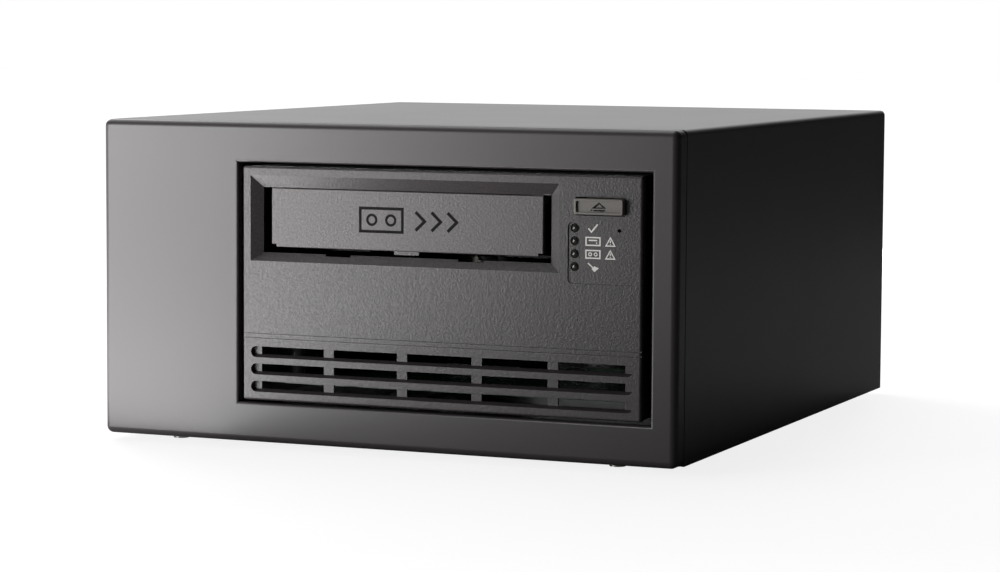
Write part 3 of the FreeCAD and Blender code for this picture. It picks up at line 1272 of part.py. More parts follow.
PSU_POST_R = 3.0
PSU_POST_X = 6.0
PSU_POST_Y = 8.0
LID_SLOTS = 10
LID_SLOT_Y = 22.0
LID_SLOT_PITCH = 14.0
LID_SLOT_W = 4.0
LID_SLOT_INSET = 10.0
PSU_BOARD_X = 2.0
PSU_BOARD_Y = 3.0
CORE_INSET = 8.0
CORE_Y = (70.0, 100.0)
CORE_H = 26.0
COIL_INSET = 7.0
COIL_Y = (77.0, 88.0)
COIL_W = 5.0
COIL_Z = (6.0, 20.0)
BULK_CAP_X = (14.0, 34.0)
BULK_CAP_Y = 25.0
BULK_CAP_R = 9.0
BULK_CAP_H = 35.0
OUT_CAPS = 3
OUT_CAP_X = 10.0
OUT_CAP_PITCH = 13.0
OUT_CAP_Y = 148.0
OUT_CAP_R = 5.0
OUT_CAP_H = 22.0
SINK_INSET = 6.0
SINK_Y = (118.0, 121.0)
SINK_H = 45.0
FINS = 5
FIN_X = 8.0
FIN_PITCH = 7.0
FIN_T = 1.5
FIN_Y = 131.0
FIN_Z = 12.0


def power_supply():
    x0 = PSU_X0
    x1 = PSU_X0 + PSU_W
    y0 = PSU_Y0
    y1 = PSU_Y0 + PSU_D
    z0 = BASE_T
    z1 = BASE_T + PSU_H
    t = PSU_T
    shell = box(x0, x1, y0, y1, z0, z1).cut(box(x0 + t, x1 - t, y0 + t, y1 - t, z0 + t, z1 + PAST))
    top = z0 + t + STANDOFF_H
    posts = []
    for x in (x0 + PSU_POST_X, x1 - PSU_POST_X):
        for y in (y0 + PSU_POST_Y, y1 - PSU_POST_Y):
            posts.append(cyl_z(x, y, PSU_POST_R, z0, top))
    save("psu_case", fuse([shell] + posts))
    slots = []
    a = x0 + LID_SLOT_INSET
    b = x1 - LID_SLOT_INSET
    for i in range(LID_SLOTS):
        y = y0 + LID_SLOT_Y + i * LID_SLOT_PITCH
        slots.append(box(a, b, y, y + LID_SLOT_W, z1 - PAST, z1 + t + PAST))
    save("psu_lid", box(x0, x1, y0, y1, z1, z1 + t).cut(slots))
    z = top + BOARD_T
    board = [box(x0 + PSU_BOARD_X, x1 - PSU_BOARD_X, y0 + PSU_BOARD_Y, y1 - PSU_BOARD_Y, top, z)]
    core = box(x0 + CORE_INSET, x1 - CORE_INSET, y0 + CORE_Y[0], y0 + CORE_Y[1], z, z + CORE_H)
    a = x0 + COIL_INSET
    b = x1 - COIL_INSET
    windows = [box(a, b, y0 + c, y0 + c + COIL_W, z + COIL_Z[0], z + COIL_Z[1]) for c in COIL_Y]
    board.append(core.cut(windows))
    board += [cyl_z(x0 + x, y0 + BULK_CAP_Y, BULK_CAP_R, z, z + BULK_CAP_H) for x in BULK_CAP_X]
    for i in range(OUT_CAPS):
        x = x0 + OUT_CAP_X + i * OUT_CAP_PITCH
        board.append(cyl_z(x, y0 + OUT_CAP_Y, OUT_CAP_R, z, z + OUT_CAP_H))
    board.append(box(x0 + SINK_INSET, x1 - SINK_INSET, y0 + SINK_Y[0], y0 + SINK_Y[1], z, z + SINK_H))
    for i in range(FINS):
        x = x0 + FIN_X + i * FIN_PITCH
        board.append(box(x, x + FIN_T, y0 + SINK_Y[1], y0 + FIN_Y, z + FIN_Z, z + SINK_H))
    save("psu_board", fuse(board))


# ======== rear fittings ========

GUARD_RINGS = (8.0, 16.0, 24.0)
GUARD_SPOKE_IN = 5.0
GUARD_SPOKE_OUT = 3.0
GUARD_SPOKE_STEP = 0.6   # spokes sit behind the rings by this share of the wire's radius
GUARD_EYE_R = 4.0
FAN_Y0 = REAR_Y0 - FAN_T
FAN_CORNER_R = 3.0
FAN_ARMS = 4
FAN_ARM_TURN = 45.0
BLADE_T = 1.2
BLADE_PITCH = 38.0
BLADE_ROOT = 6.0
FAN_STRUT = 3.0
FAN_PLATE = 2.0
FAN_SHAFT_R = 1.5
FAN_SHAFT_SHORT = 3.0    # shaft and rotor end this far inside the frame's rear face
FAN_ROTOR_SHORT = 2.0


def around_fan(shape, angle):
    return turned(shape, Vector(FAN_X, 0, FAN_Z), Vector(0, 1, 0), angle)


def fan():
    half = FAN_SIZE / 2
    y0 = FAN_Y0
    y1 = REAR_Y0
    frame = rounded_y(FAN_X - half, FAN_X + half, y0, y1, FAN_Z - half, FAN_Z + half, FAN_CORNER_R)
    frame = frame.cut(cyl_y(FAN_X, FAN_Z, FAN_BORE_R, y0 - PAST, y1 + PAST))
    parts = [frame, cyl_y(FAN_X, FAN_Z, FAN_HUB_R, y0, y0 + FAN_PLATE)]
    w = FAN_STRUT / 2
    arm = box(FAN_X, FAN_X + FAN_BORE_R + JOIN, y0, y0 + FAN_PLATE, FAN_Z - w, FAN_Z + w)
    parts += [around_fan(arm, FAN_ARM_TURN + i * 360 / FAN_ARMS) for i in range(FAN_ARMS)]
    parts.append(cyl_y(FAN_X, FAN_Z, FAN_SHAFT_R, y0, y1 - FAN_SHAFT_SHORT))
    holes = [cyl_y(x, z, SCREW_R + SCREW_CLEAR, y0 - PAST, y1 + PAST) for x, z in fan_screw_places()]
    save("fan_frame", fuse(parts).cut(holes))
    r0 = y0 + FAN_PLATE + FLOOR_CLEAR
    r1 = y1 - FAN_ROTOR_SHORT
    hub = cyl_y(FAN_X, FAN_Z, FAN_HUB_R, r0, r1)
    limit = cyl_y(FAN_X, FAN_Z, FAN_BORE_R - FAN_TIP_GAP, r0, r1)
    middle = (r0 + r1) / 2
    length = (r1 - r0) / cos(radians(BLADE_PITCH))
    t = BLADE_T / 2
    a = middle - length / 2
    blade = box(FAN_X + BLADE_ROOT, FAN_X + FAN_BORE_R, a, a + length, FAN_Z - t, FAN_Z + t)
    blade = turned(blade, Vector(FAN_X, middle, FAN_Z), Vector(1, 0, 0), BLADE_PITCH).common(limit)
    blades = [around_fan(blade, i * 360 / FAN_BLADES) for i in range(FAN_BLADES)]
    bore = cyl_y(FAN_X, FAN_Z, FAN_SHAFT_R + RUN_FIT, r0 - PAST, y1 - FAN_SHAFT_SHORT + FLOOR_CLEAR)
    save("fan_rotor", hub.fuse(blades).removeSplitter().cut(bore))
    w = GUARD_WIRE_R
    ring_y = REAR_Y1 + w
    wires = [Part.makeTorus(r, w, Vector(FAN_X, ring_y, FAN_Z), Vector(0, 1, 0)) for r in GUARD_RINGS]
    reach = FAN_SCREW_PITCH / 2 * 2 ** 0.5
    x0 = FAN_X + GUARD_SPOKE_IN
    spoke = cyl_x(ring_y + w * GUARD_SPOKE_STEP, FAN_Z, w, x0, FAN_X + reach - GUARD_SPOKE_OUT)
    eye = cyl_y(FAN_X + reach, FAN_Z, GUARD_EYE_R, REAR_Y1, REAR_Y1 + 2 * w)
    eye = eye.cut(cyl_y(FAN_X + reach, FAN_Z, SCREW_R + SCREW_CLEAR, REAR_Y1 - PAST, REAR_Y1 + 2 * w + PAST))
    for i in range(FAN_ARMS):
        wires += [around_fan(piece, FAN_ARM_TURN + i * 360 / FAN_ARMS) for piece in (spoke, eye)]
    save("fan_guard", fuse(wires))


FLANGE_R = 1.5
INLET_DEPTH = 16.0
INLET_HALF_W = 11.8
INLET_HALF_H = 7.8
INLET_CHAMFER = 4.0
INLET_PINS = ((-7.0, -2.0), (0.0, 2.0), (7.0, -2.0))
PIN_HALF_W = 1.0
PIN_HALF_H = 2.0
PIN_SHORT = 2.0
SWITCH_WALL = 1.5
SWITCH_FLOOR = 5.0
ROCKER_DEEP = 4.0        # rocker's pivot inside the panel's face
ROCKER_PIN_R = 1.2
ROCKER_PIN_END = 1.0
ROCKER_END_GAP = 0.6
ROCKER_SIDE_GAP = 0.3
ROCKER_RISE = 6.0
ROCKER_TIP = 2.6
ROCKER_BACK = 2.5


def mains_inlet():
    x = INLET_X
    z = INLET_Z
    w = INLET_W / 2
    h = INLET_H / 2
    lip = FLANGE_LIP
    y1 = REAR_Y1 + FLANGE_T
    body = box(x - w, x + w, REAR_Y1 - INLET_D, REAR_Y1, z - h, z + h)
    flange = rounded_y(x - w - lip, x + w + lip, REAR_Y1, y1, z - h - lip, z + h + lip, FLANGE_R)
    a = INLET_HALF_W
    b = INLET_HALF_H
    c = INLET_CHAMFER
    outline = [(x - a, z - b), (x + a, z - b), (x + a, z + b - c), (x + a - c, z + b), (x - a + c, z + b)]
    outline.append((x - a, z + b - c))
    floor = y1 - INLET_DEPTH
    save("mains_inlet", fuse([body, flange]).cut(extrude_y(outline, floor, y1 + PAST)))
    w = PIN_HALF_W
    h = PIN_HALF_H
    places = [(x + dx, z + dz) for dx, dz in INLET_PINS]
    save("inlet_pins", [box(px - w, px + w, floor, y1 - PIN_SHORT, pz - h, pz + h) for px, pz in places])


def power_switch():
    x = INLET_X
    z = SWITCH_Z
    w = SWITCH_W / 2
    h = SWITCH_H / 2
    lip = FLANGE_LIP
    y0 = REAR_Y1 - SWITCH_D
    y1 = REAR_Y1 + FLANGE_T
    body = box(x - w, x + w, y0, REAR_Y1, z - h, z + h)
    flange = rounded_y(x - w - lip, x + w + lip, REAR_Y1, y1, z - h - lip, z + h + lip, FLANGE_R)
    w -= SWITCH_WALL
    h -= SWITCH_WALL
    cavity = box(x - w, x + w, y0 + SWITCH_FLOOR, y1 + PAST, z - h, z + h)
    pivot = Vector(x, REAR_Y1 - ROCKER_DEEP, z)
    end = h + SWITCH_WALL - ROCKER_PIN_END
    pin = cyl_z(x, pivot.y, ROCKER_PIN_R, z - end, z + end)
    save("power_switch", fuse([body, flange]).cut(cavity).fuse(pin))
    w -= ROCKER_END_GAP
    h -= ROCKER_SIDE_GAP
    back = pivot.y - ROCKER_BACK
    low = pivot.y + ROCKER_RISE
    tip = low + ROCKER_TIP
    rocker = extrude_z([(x - w, back), (x + w, back), (x + w, tip), (x, low), (x - w, tip)], z - h, z + h)
    limit = cyl_z(x, pivot.y, ROCKER_R, z - h, z + h)
    rocker = rocker.common(limit).cut(cyl_z(x, pivot.y, ROCKER_PIN_R + RUN_FIT, z - h - PAST, z + h + PAST))
    save("power_rocker", turned(rocker, pivot, Vector(0, 0, 1), -ROCKER_TILT))


BUS_PROUD = 2.0
BUS_WALL = 1.0
BUS_CAVITY = 6.0
BUS_TONGUE_END = 3.0     # tongue shorter than the shell at each end
BUS_TONGUE_HALF = 1.0
BUS_TONGUE_PROUD = 1.2
JACK_NUT = 1.4           # nut wider than the sleeve
JACK_NUT_T = 2.0


def bus_connectors():
    shells = []
    jacks = []
    w = BUS_W / 2
    h = BUS_H / 2
    floor = REAR_Y1 - BUS_CAVITY
    tip = CASE_D + JACK_PROUD
    for z in BUS_Z:
        body = box(BUS_X - w, BUS_X + w, REAR_Y1 - BUS_D, REAR_Y1 + BUS_PROUD, z - h, z + h)
        a = w - BUS_WALL
        b = h - BUS_WALL
        cavity = box(BUS_X - a, BUS_X + a, floor, REAR_Y1 + BUS_PROUD + PAST, z - b, z + b)
        a = w - BUS_TONGUE_END
        b = BUS_TONGUE_HALF
        tongue = box(BUS_X - a, BUS_X + a, floor - JOIN, REAR_Y1 + BUS_TONGUE_PROUD, z - b, z + b)
        shells.append(body.cut(cavity).fuse(tongue))
        for s in (-1, 1):
            x = BUS_X + s * JACK_PITCH / 2
            sleeve = cyl_y(x, z, JACK_R, REAR_Y0 - JACK_NUT_T, tip)
            nut = cyl_y(x, z, JACK_R + JACK_NUT, REAR_Y0 - JACK_NUT_T, REAR_Y0)
            jacks.append(fuse([sleeve, nut]).cut(cyl_y(x, z, JACK_BORE_R, tip - JACK_LENGTH, tip + PAST)))
    save("bus_connectors", shells)
    save("jack_sockets", jacks)


ID_LIP = 1.5
ID_WALL = 1.0
ID_WHEEL_DEEP = 1.0      # wheel's rim behind the switch's face
ID_WHEEL_HALF = 3.0
ID_WELL_HALF = 3.5
ID_AXLE_R = 1.0
ID_AXLE_HALF = 4.0
ID_BUTTON_GAP = 0.1
ID_BUTTON_DEPTH = 7.0
ID_BUTTON_PROUD = 1.2
ID_BUTTON_R = 0.5


def address_switch():
    x = ID_X
    z = ID_Z
    w = ID_W / 2
    h = ID_H / 2
    y1 = REAR_Y1 + ID_PROUD
    y0 = REAR_Y1 - ID_D
    body = box(x - w, x + w, y0, REAR_Y1, z - h, z + h)
    flange = box(x - w - ID_LIP, x + w + ID_LIP, REAR_Y1, y1, z - h - ID_LIP, z + h + ID_LIP)
    wheel_y = y1 - ID_WHEEL_DEEP - ID_WHEEL_R
    well = ID_WHEEL_R + SHEET_GAP
    cuts = [box(x - ID_WELL_HALF, x + ID_WELL_HALF, y0 + ID_WALL, y1 + PAST, z - well, z + well)]
    half = ID_BUTTON / 2
    a = half + ID_BUTTON_GAP
    places = [z + s * (h - ID_BUTTON_EDGE) for s in (-1, 1)]
    floor = y1 - ID_BUTTON_DEPTH
    cuts += [box(x - a, x + a, floor, y1 + PAST, c - a, c + a) for c in places]
    frame = fuse([body, flange]).cut(cuts)
    save("address_switch", frame.fuse(cyl_x(wheel_y, z, ID_AXLE_R, x - ID_AXLE_HALF, x + ID_AXLE_HALF)))
    wheel = cyl_x(wheel_y, z, ID_WHEEL_R, x - ID_WHEEL_HALF, x + ID_WHEEL_HALF)
    bore = cyl_x(wheel_y, z, ID_AXLE_R + RUN_FIT, x - ID_AXLE_HALF, x + ID_AXLE_HALF)
    save("address_wheel", wheel.cut(bore))
    deep = floor + ID_TRAVEL + ID_BUTTON_GAP
    for name, c in zip(("address_button_down", "address_button_up"), places):
        cap = rounded_y(x - half, x + half, deep, y1 + ID_BUTTON_PROUD, c - half, c + half, ID_BUTTON_R)
        save(name, cap)


HARNESS_INSET = 12.0
HARNESS_LOOP = 11.0
HARNESS_BEND = 7.5
FAN_LEAD_INSET = 5.0
FAN_LEAD_RISE = 10.0
FAN_LEAD_BEND = 3.5
WIRE_R = 1.2
INLET_WIRES = (-7.0, 0.0, 7.0)
SWITCH_WIRES = (-5.0, 5.0)
RIBBON_INSET = 2.0
RIBBON_BEND = 5.0


def wiring():
    y1 = PSU_Y0 + PSU_D
    psu_x = PSU_X0 + PSU_W
    plug_z = BOARD_Z + BOARD_T + PLUG_H / 2
    plug_y = DRIVE_Y1 + CONNECTOR_D / 2
    a = psu_x - HARNESS_INSET
    b = plug_y + HARNESS_LOOP
    route = [(a, y1, plug_z), (a, b, plug_z), (POWER_PLUG_X, b, plug_z), (POWER_PLUG_X, plug_y, plug_z)]
    wires = [tube_path(route, HARNESS_R, HARNESS_BEND)]
    fan_y = FAN_Y0 + FAN_T / 2
    lead_z = FAN_Z + FAN_LEAD_RISE
    a = psu_x - FAN_LEAD_INSET
    route = [(a, y1, lead_z), (a, fan_y, lead_z), (FAN_X - FAN_SIZE / 2, fan_y, lead_z)]
    wires.append(tube_path(route, WIRE_R, FAN_LEAD_BEND))
    for dx in INLET_WIRES:
        wires.append(cyl_y(INLET_X + dx, INLET_Z, WIRE_R, y1, REAR_Y1 - INLET_D))
    for dx in SWITCH_WIRES:
        wires.append(cyl_y(INLET_X + dx, SWITCH_Z, WIRE_R, y1, REAR_Y1 - SWITCH_D))
    save("internal_wiring", wires)
    t = RIBBON_T
    half = BUS_W / 2 - RIBBON_INSET
    x0 = BUS_X - half
    x1 = BUS_X + half
    face = REAR_Y1 - BUS_D
    y = face - RIBBON_BEND
    z0 = plug_z - t / 2
    z = z0 + RIBBON_BEND
    flat = box(x0, x1, plug_y, y, z0, z0 + t)
    rise = box(x0, x1, face - t, face, z, BUS_Z[0] + BUS_H / 2)
    ring = cyl_x(y, z, RIBBON_BEND, x0, x1).cut(cyl_x(y, z, RIBBON_BEND - t, x0 - PAST, x1 + PAST))
    corner = ring.common(box(x0, x1, y, face, z0, z))
    save("bus_ribbon", fuse([flat, corner, rise]))


os.makedirs("parts", exist_ok=True)
front_panel()
top_cover()
base_chassis()
rubber_feet()
rear_panel()
rear_screws()
drive_brackets()
drive_bezel()
tape_door()
eject_button()
front_board()
status_lenses()
drive_casting()
main_board()
loader()
load_drive()
reels()
tape_rollers()
head_group()
threading_arm()
power_supply()
fan()
mains_inlet()
power_switch()
bus_connectors()
address_switch()
wiring()
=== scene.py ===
# %% [markdown]
# # An external data tape drive
#
# This lesson dresses a finished engineering model of a desktop tape drive: a painted steel box with a
# plastic drive bezel in its front. The engineering model already has every piece at its real size and in
# its real place. Here each visible piece gets its surface, its fine edges and its small printed marks.
# The scene is in metres, with X to the right, Y to the back and Z up. Small sizes are written in
# millimetres and multiplied by MM where they are used.

# %% Load the model
import bmesh
import bpy
import json
from math import cos, pi, radians, sin
from mathutils import Matrix, Vector


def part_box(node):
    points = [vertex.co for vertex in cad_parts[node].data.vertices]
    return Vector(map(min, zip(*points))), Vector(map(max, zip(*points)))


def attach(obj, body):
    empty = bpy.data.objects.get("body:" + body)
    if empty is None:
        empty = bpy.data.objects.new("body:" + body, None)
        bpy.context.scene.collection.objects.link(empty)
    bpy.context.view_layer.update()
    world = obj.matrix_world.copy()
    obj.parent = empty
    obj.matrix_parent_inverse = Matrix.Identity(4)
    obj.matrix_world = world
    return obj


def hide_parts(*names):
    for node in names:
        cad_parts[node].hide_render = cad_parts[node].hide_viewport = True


MM = 0.001
scene = bpy.context.scene
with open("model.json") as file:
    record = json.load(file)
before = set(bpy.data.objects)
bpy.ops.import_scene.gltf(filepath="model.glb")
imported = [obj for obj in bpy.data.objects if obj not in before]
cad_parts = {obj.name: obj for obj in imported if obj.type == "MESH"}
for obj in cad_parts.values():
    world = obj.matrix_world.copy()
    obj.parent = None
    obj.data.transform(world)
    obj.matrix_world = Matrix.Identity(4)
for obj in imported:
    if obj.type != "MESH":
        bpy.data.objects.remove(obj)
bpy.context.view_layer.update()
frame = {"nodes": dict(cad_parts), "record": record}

# %% [markdown]
# ## The camera
#
# The drive is seen from its front right corner, a little above, through a long lens. The place of the
# camera is worked out from the front lower left corner of the enclosure, because that corner is easy to
# point at on the real thing. A camera can be aimed with a constraint or by hand. Here its matrix is built
# from three angles, so that the same numbers always give the same view.

# %% Camera
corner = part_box("front_panel")[0]
CAMERA_FROM_CORNER = Vector((551.145, -947.162, 150.484)) * MM
AZIMUTH = radians(22.742)
ELEVATION = radians(5.085)
ROLL = radians(0.316)
LENS_MM = 109.4
SENSOR_MM = 36.0
SIGHT_LIMIT = 20.0


def add_camera():
    """A camera turned by the three angles, level first and then rolled about its own line of sight."""
    data = bpy.data.cameras.new("studio_camera")
    data.lens = LENS_MM
    data.sensor_width = SENSOR_MM
    data.clip_end = SIGHT_LIMIT
    camera = bpy.data.objects.new("studio_camera", data)
    scene.collection.objects.link(camera)
    back = Vector((sin(AZIMUTH) * cos(ELEVATION), -cos(AZIMUTH) * cos(ELEVATION), sin(ELEVATION)))
    right = (-back).cross(Vector((0, 0, 1))).normalized()
    up = right.cross(-back)
    tilted_right = right * cos(ROLL) + up * sin(ROLL)
    tilted_up = up * cos(ROLL) - right * sin(ROLL)
    turn = Matrix((tilted_right, tilted_up, back)).transposed()
    camera.matrix_world = Matrix.Translation(corner + CAMERA_FROM_CORNER) @ turn.to_4x4()
    scene.camera = camera
    return camera


camera = add_camera()
print("camera at", [round(v, 3) for v in camera.location])

# %% [markdown]
# ## Colours and nodes
#
# A maker reads paint and plastic colours off a chart as sRGB hex values. Shaders calculate in linear
# light, so one function turns a hex value into a linear colour. Another adds a node, sets its values and
# makes its links. The last three start a material, turn a grain's real size into a noise scale, and stack
# bumps on the surface. The same node could be added by hand in the editor, one at a time. Written out,
# every material can be read and changed in one place.

# %% Colour and node helpers
materials = {}


def linear(hex_colour):
    """An sRGB hex colour such as "4a464a" as linear RGBA."""
    channels = [int(hex_colour[i:i + 2], 16) / 255 for i in (0, 2, 4)]
    bent = [c / 12.92 if c <= 0.04045 else ((c + 0.055) / 1.055) ** 2.4 for c in channels]
    return (*bent, 1.0)


def add(tree, kind, settings=None, links=None):
    """Adds a node. settings are attributes or input values by name; links are inputs fed by sockets."""
    node = tree.nodes.new(kind)
    for key, value in (settings or {}).items():
        if isinstance(key, int) or key in node.inputs:
            node.inputs[key].default_value = value
        else:
            setattr(node, key, value)
    for key, socket in (links or {}).items():
        tree.links.new(socket, node.inputs[key])
    return node


def new_material(name):
    """A new material with its tree, its Principled shader and its Object coordinates."""
    material = bpy.data.materials.new(name)
    material.use_nodes = True
    tree = material.node_tree
    shader = tree.nodes["Principled BSDF"]
    where = tree.nodes.new("ShaderNodeTexCoord").outputs["Object"]
    return material, tree, shader, where


def per_metre(size_mm):
    """The noise scale whose features are about this size."""
    return 1.0 / (size_mm * MM)


def add_bump(tree, shader, heights):
    """Stacks bumps on the shader's normal. Each of heights is a height socket and its depth in mm."""
    normal = None
    for height, depth_mm in heights:
        bump = add(tree, "ShaderNodeBump", {"Distance": depth_mm * MM, "Strength": 1.0}, {"Height": height})
        if normal is not None:
            tree.links.new(normal, bump.inputs["Normal"])
        normal = bump.outputs["Normal"]
    tree.links.new(normal, shader.inputs["Normal"])


print("white is", linear("ffffff"), "and a 2 mm grain has a noise scale of", per_metre(2.0))

# %% [markdown]
# ## The enclosure's powder coat
#
# The steel box is powder coated: dry paint powder is sprayed on and melted into one skin. It flows a
# little before it sets, and leaves a faint waviness like orange peel, a couple of millimetres across, with
# a fine grain on it. The sheen also drifts a little from place to place. Real displacement would do this
# too, but the waves are only microns deep, so a bump is enough. The rear panel has the same paint.

# %% Powder coat
PEEL_MM, GRAIN_MM, DRIFT_MM = 2.2, 0.35, 60.0
PEEL_DEPTH_MM, GRAIN_DEPTH_MM = 0.012, 0.002
coat, tree, shader, where = new_material("charcoal_powder_coat")
peel = add(tree, "ShaderNodeTexNoise", {"Scale": per_metre(PEEL_MM), "Detail": 2.0}, {"Vector": where})
grain = add(tree, "ShaderNodeTexNoise", {"Scale": per_metre(GRAIN_MM), "Detail": 1.0}, {"Vector": where})
drift = add(tree, "ShaderNodeTexNoise", {"Scale": per_metre(DRIFT_MM), "Detail": 3.0}, {"Vector": where})
sheen_range = add(tree, "ShaderNodeMapRange", {"To Min": 0.33, "To Max": 0.37},
                  {"Value": drift.outputs["Fac"]})
shader.inputs["Base Color"].default_value = linear("3d393b")
shader.inputs["Specular IOR Level"].default_value = 0.5
tree.links.new(sheen_range.outputs["Result"], shader.inputs["Roughness"])
add_bump(tree, shader, [(peel.outputs["Fac"], PEEL_DEPTH_MM), (grain.outputs["Fac"], GRAIN_DEPTH_MM)])
materials["enclosure_paint"] = coat
materials["rear_paint"] = coat
print("made", coat.name)

# %% [markdown]
# ## The moulded front of the drive
#
# The drive's bezel is ABS from a mould whose steel was eroded by sparks. The craters leave a coarse, even
# speckle, most of a millimetre across, that scatters the light. A Voronoi pattern would give hard cells,
# so two sizes of noise are used. The high spots are also polished by handling, so they are a little
# smoother than the hollows between them. The colour is painted shade on the same noise: darker in the
# hollows and lighter on the high spots. The other plastics differ in colour, grain and depth.

# %% Spark-textured ABS and the other plastics
# The finer noise's share of the grain's size and depth, how much the high spots are smoothed, and the two
# noise levels that count as a pit and as a peak.
FINE_SHARE = 0.4
POLISH = 0.06
PIT_LEVEL, PEAK_LEVEL = 0.3, 0.7


def textured_plastic(name, hex_colour, grain_mm, depth_mm, roughness, speckle):
    """Moulded plastic: texture grain size and depth, and how much painted shade speckles the colour."""
    material, tree, shader, where = new_material(name)
    coarse = add(tree, "ShaderNodeTexNoise",
                 {"Scale": per_metre(grain_mm), "Detail": 2.0, "Roughness": 0.55}, {"Vector": where})
    fine = add(tree, "ShaderNodeTexNoise",
               {"Scale": per_metre(grain_mm * FINE_SHARE), "Detail": 1.0}, {"Vector": where})
    # The colour is painted shade: darker where the coarse noise is low, in the texture's hollows, and lighter
    # on its peaks.
    pit_shade = add(tree, "ShaderNodeMapRange",
               {"From Min": PIT_LEVEL, "From Max": PEAK_LEVEL, "To Min": 1 - speckle, "To Max": 1 + speckle},
               {"Value": coarse.outputs["Fac"]})
    tint = add(tree, "ShaderNodeVectorMath", {"operation": "SCALE", 0: linear(hex_colour)[:3]},
               {"Scale": pit_shade.outputs["Result"]})
    tree.links.new(tint.outputs["Vector"], shader.inputs["Base Color"])
    gloss = add(tree, "ShaderNodeMapRange",
                {"From Min": PIT_LEVEL, "From Max": PEAK_LEVEL,
                 "To Min": roughness + POLISH, "To Max": roughness - POLISH},
                {"Value": coarse.outputs["Fac"]})
    tree.links.new(gloss.outputs["Result"], shader.inputs["Roughness"])
    add_bump(tree, shader, [(coarse.outputs["Fac"], depth_mm), (fine.outputs["Fac"], depth_mm * FINE_SHARE)])
    return material


materials["bezel_plastic"] = textured_plastic("spark_textured_abs", "3b3738", 0.8, 0.085, 0.36, 0.30)
materials["door_plastic"] = textured_plastic("spark_textured_abs_door", "4c4748", 0.8, 0.085, 0.36, 0.28)
materials["button_plastic"] = textured_plastic("fine_matt_abs_button", "68645f", 0.25, 0.02, 0.42, 0.05)
materials["black_plastic"] = textured_plastic("black_glass_filled_nylon", "1d1c1d", 0.4, 0.015, 0.45, 0.10)
materials["white_plastic"] = textured_plastic("natural_acetal", "dedbd2", 0.6, 0.004, 0.35, 0.02)
materials["foot_rubber"] = textured_plastic("moulded_rubber", "1a1a1a", 0.6, 0.02, 0.75, 0.12)
materials["wire_plastic"] = textured_plastic("pvc_insulation", "8b8c8f", 1.5, 0.01, 0.4, 0.04)
print("plastics", sorted(set(materials) - {"enclosure_paint", "rear_paint"}))

# %% [markdown]
# ## The smoked status lenses
#
# The four lamps sit behind lenses of smoked acrylic. With the lamps off, such a lens is so dark that it
# reads as a shiny near-black button. Real transmission would show the dark inside and cost render time.
# A dark glossy surface gives the eye the same, and a little haze in its sheen keeps it from looking wet.

# %% Lens
lens, tree, shader, where = new_material("smoked_acrylic_lens")
haze = add(tree, "ShaderNodeTexNoise", {"Scale": per_metre(0.5)}, {"Vector": where})
sheen = add(tree, "ShaderNodeMapRange", {"To Min": 0.16, "To Max": 0.24}, {"Value": haze.outputs["Fac"]})
shader.inputs["Base Color"].default_value = linear("2a2a26")
tree.links.new(sheen.outputs["Result"], shader.inputs["Roughness"])
materials["smoked_lens"] = lens
print("made", lens.name)

# %% [markdown]
# ## Metals and boards
#
# Inside and behind there is zinc-plated sheet with its faint crystal spangle, black passivated sheet,
# die-cast aluminium with mould flow marks, bright plated screws, gold-flashed contacts and green circuit
# boards. The casting's grey is partly painted shade, and the black of the tray and the sled is painted
# shade, so that the inside seen through the gaps in the front stays dark. Each metal is one noise that
# varies its sheen and ripples its surface. The spangle is a Voronoi pattern on top, because zinc really
# does set in flat-sided crystals.

# %% Metals and boards
SHEEN_SPREAD = 0.08


def metal(name, hex_colour, roughness, grain_mm, depth_mm):
    """A metal whose sheen and surface vary by one noise of a stated size."""
    material, tree, shader, where = new_material(name)
    shader.inputs["Base Color"].default_value = linear(hex_colour)
    shader.inputs["Metallic"].default_value = 1.0
    flow = add(tree, "ShaderNodeTexNoise", {"Scale": per_metre(grain_mm), "Detail": 3.0}, {"Vector": where})
    gloss = add(tree, "ShaderNodeMapRange",
                {"To Min": roughness - SHEEN_SPREAD, "To Max": roughness + SHEEN_SPREAD},
                {"Value": flow.outputs["Fac"]})
    tree.links.new(gloss.outputs["Result"], shader.inputs["Roughness"])
    add_bump(tree, shader, [(flow.outputs["Fac"], depth_mm)])
    return material


def add_spangle(material, hex_colour, crystal_mm):
    """Makes each zinc crystal a little lighter or darker than the next."""
    tree = material.node_tree
    where = tree.nodes["Texture Coordinate"].outputs["Object"]
    crystals = add(tree, "ShaderNodeTexVoronoi", {"Scale": per_metre(crystal_mm)}, {"Vector": where})
    shade = add(tree, "ShaderNodeSeparateColor", None, {"Color": crystals.outputs["Color"]})
    level = add(tree, "ShaderNodeMapRange", {"To Min": 0.88, "To Max": 1.06}, {"Value": shade.outputs["Red"]})
    tint = add(tree, "ShaderNodeVectorMath", {"operation": "SCALE", 0: linear(hex_colour)[:3]},
               {"Scale": level.outputs["Result"]})
    tree.links.new(tint.outputs["Vector"], tree.nodes["Principled BSDF"].inputs["Base Color"])


ZINC_HEX = "b9bbbd"
# The casting's grey is darker than bare aluminium: its own colour, and partly painted shade for the strip
# seen through the gaps in the front.
materials["cast_aluminium"] = metal("die_cast_aluminium_and_painted_shade", "8f8f8d", 0.5, 1.5, 0.03)
materials["screw_steel"] = metal("nickel_plated_steel", "bdbab4", 0.3, 3.0, 0.004)
materials["zinc_sheet"] = metal("zinc_plated_sheet", ZINC_HEX, 0.38, 4.0, 0.003)
add_spangle(materials["zinc_sheet"], ZINC_HEX, 7.0)
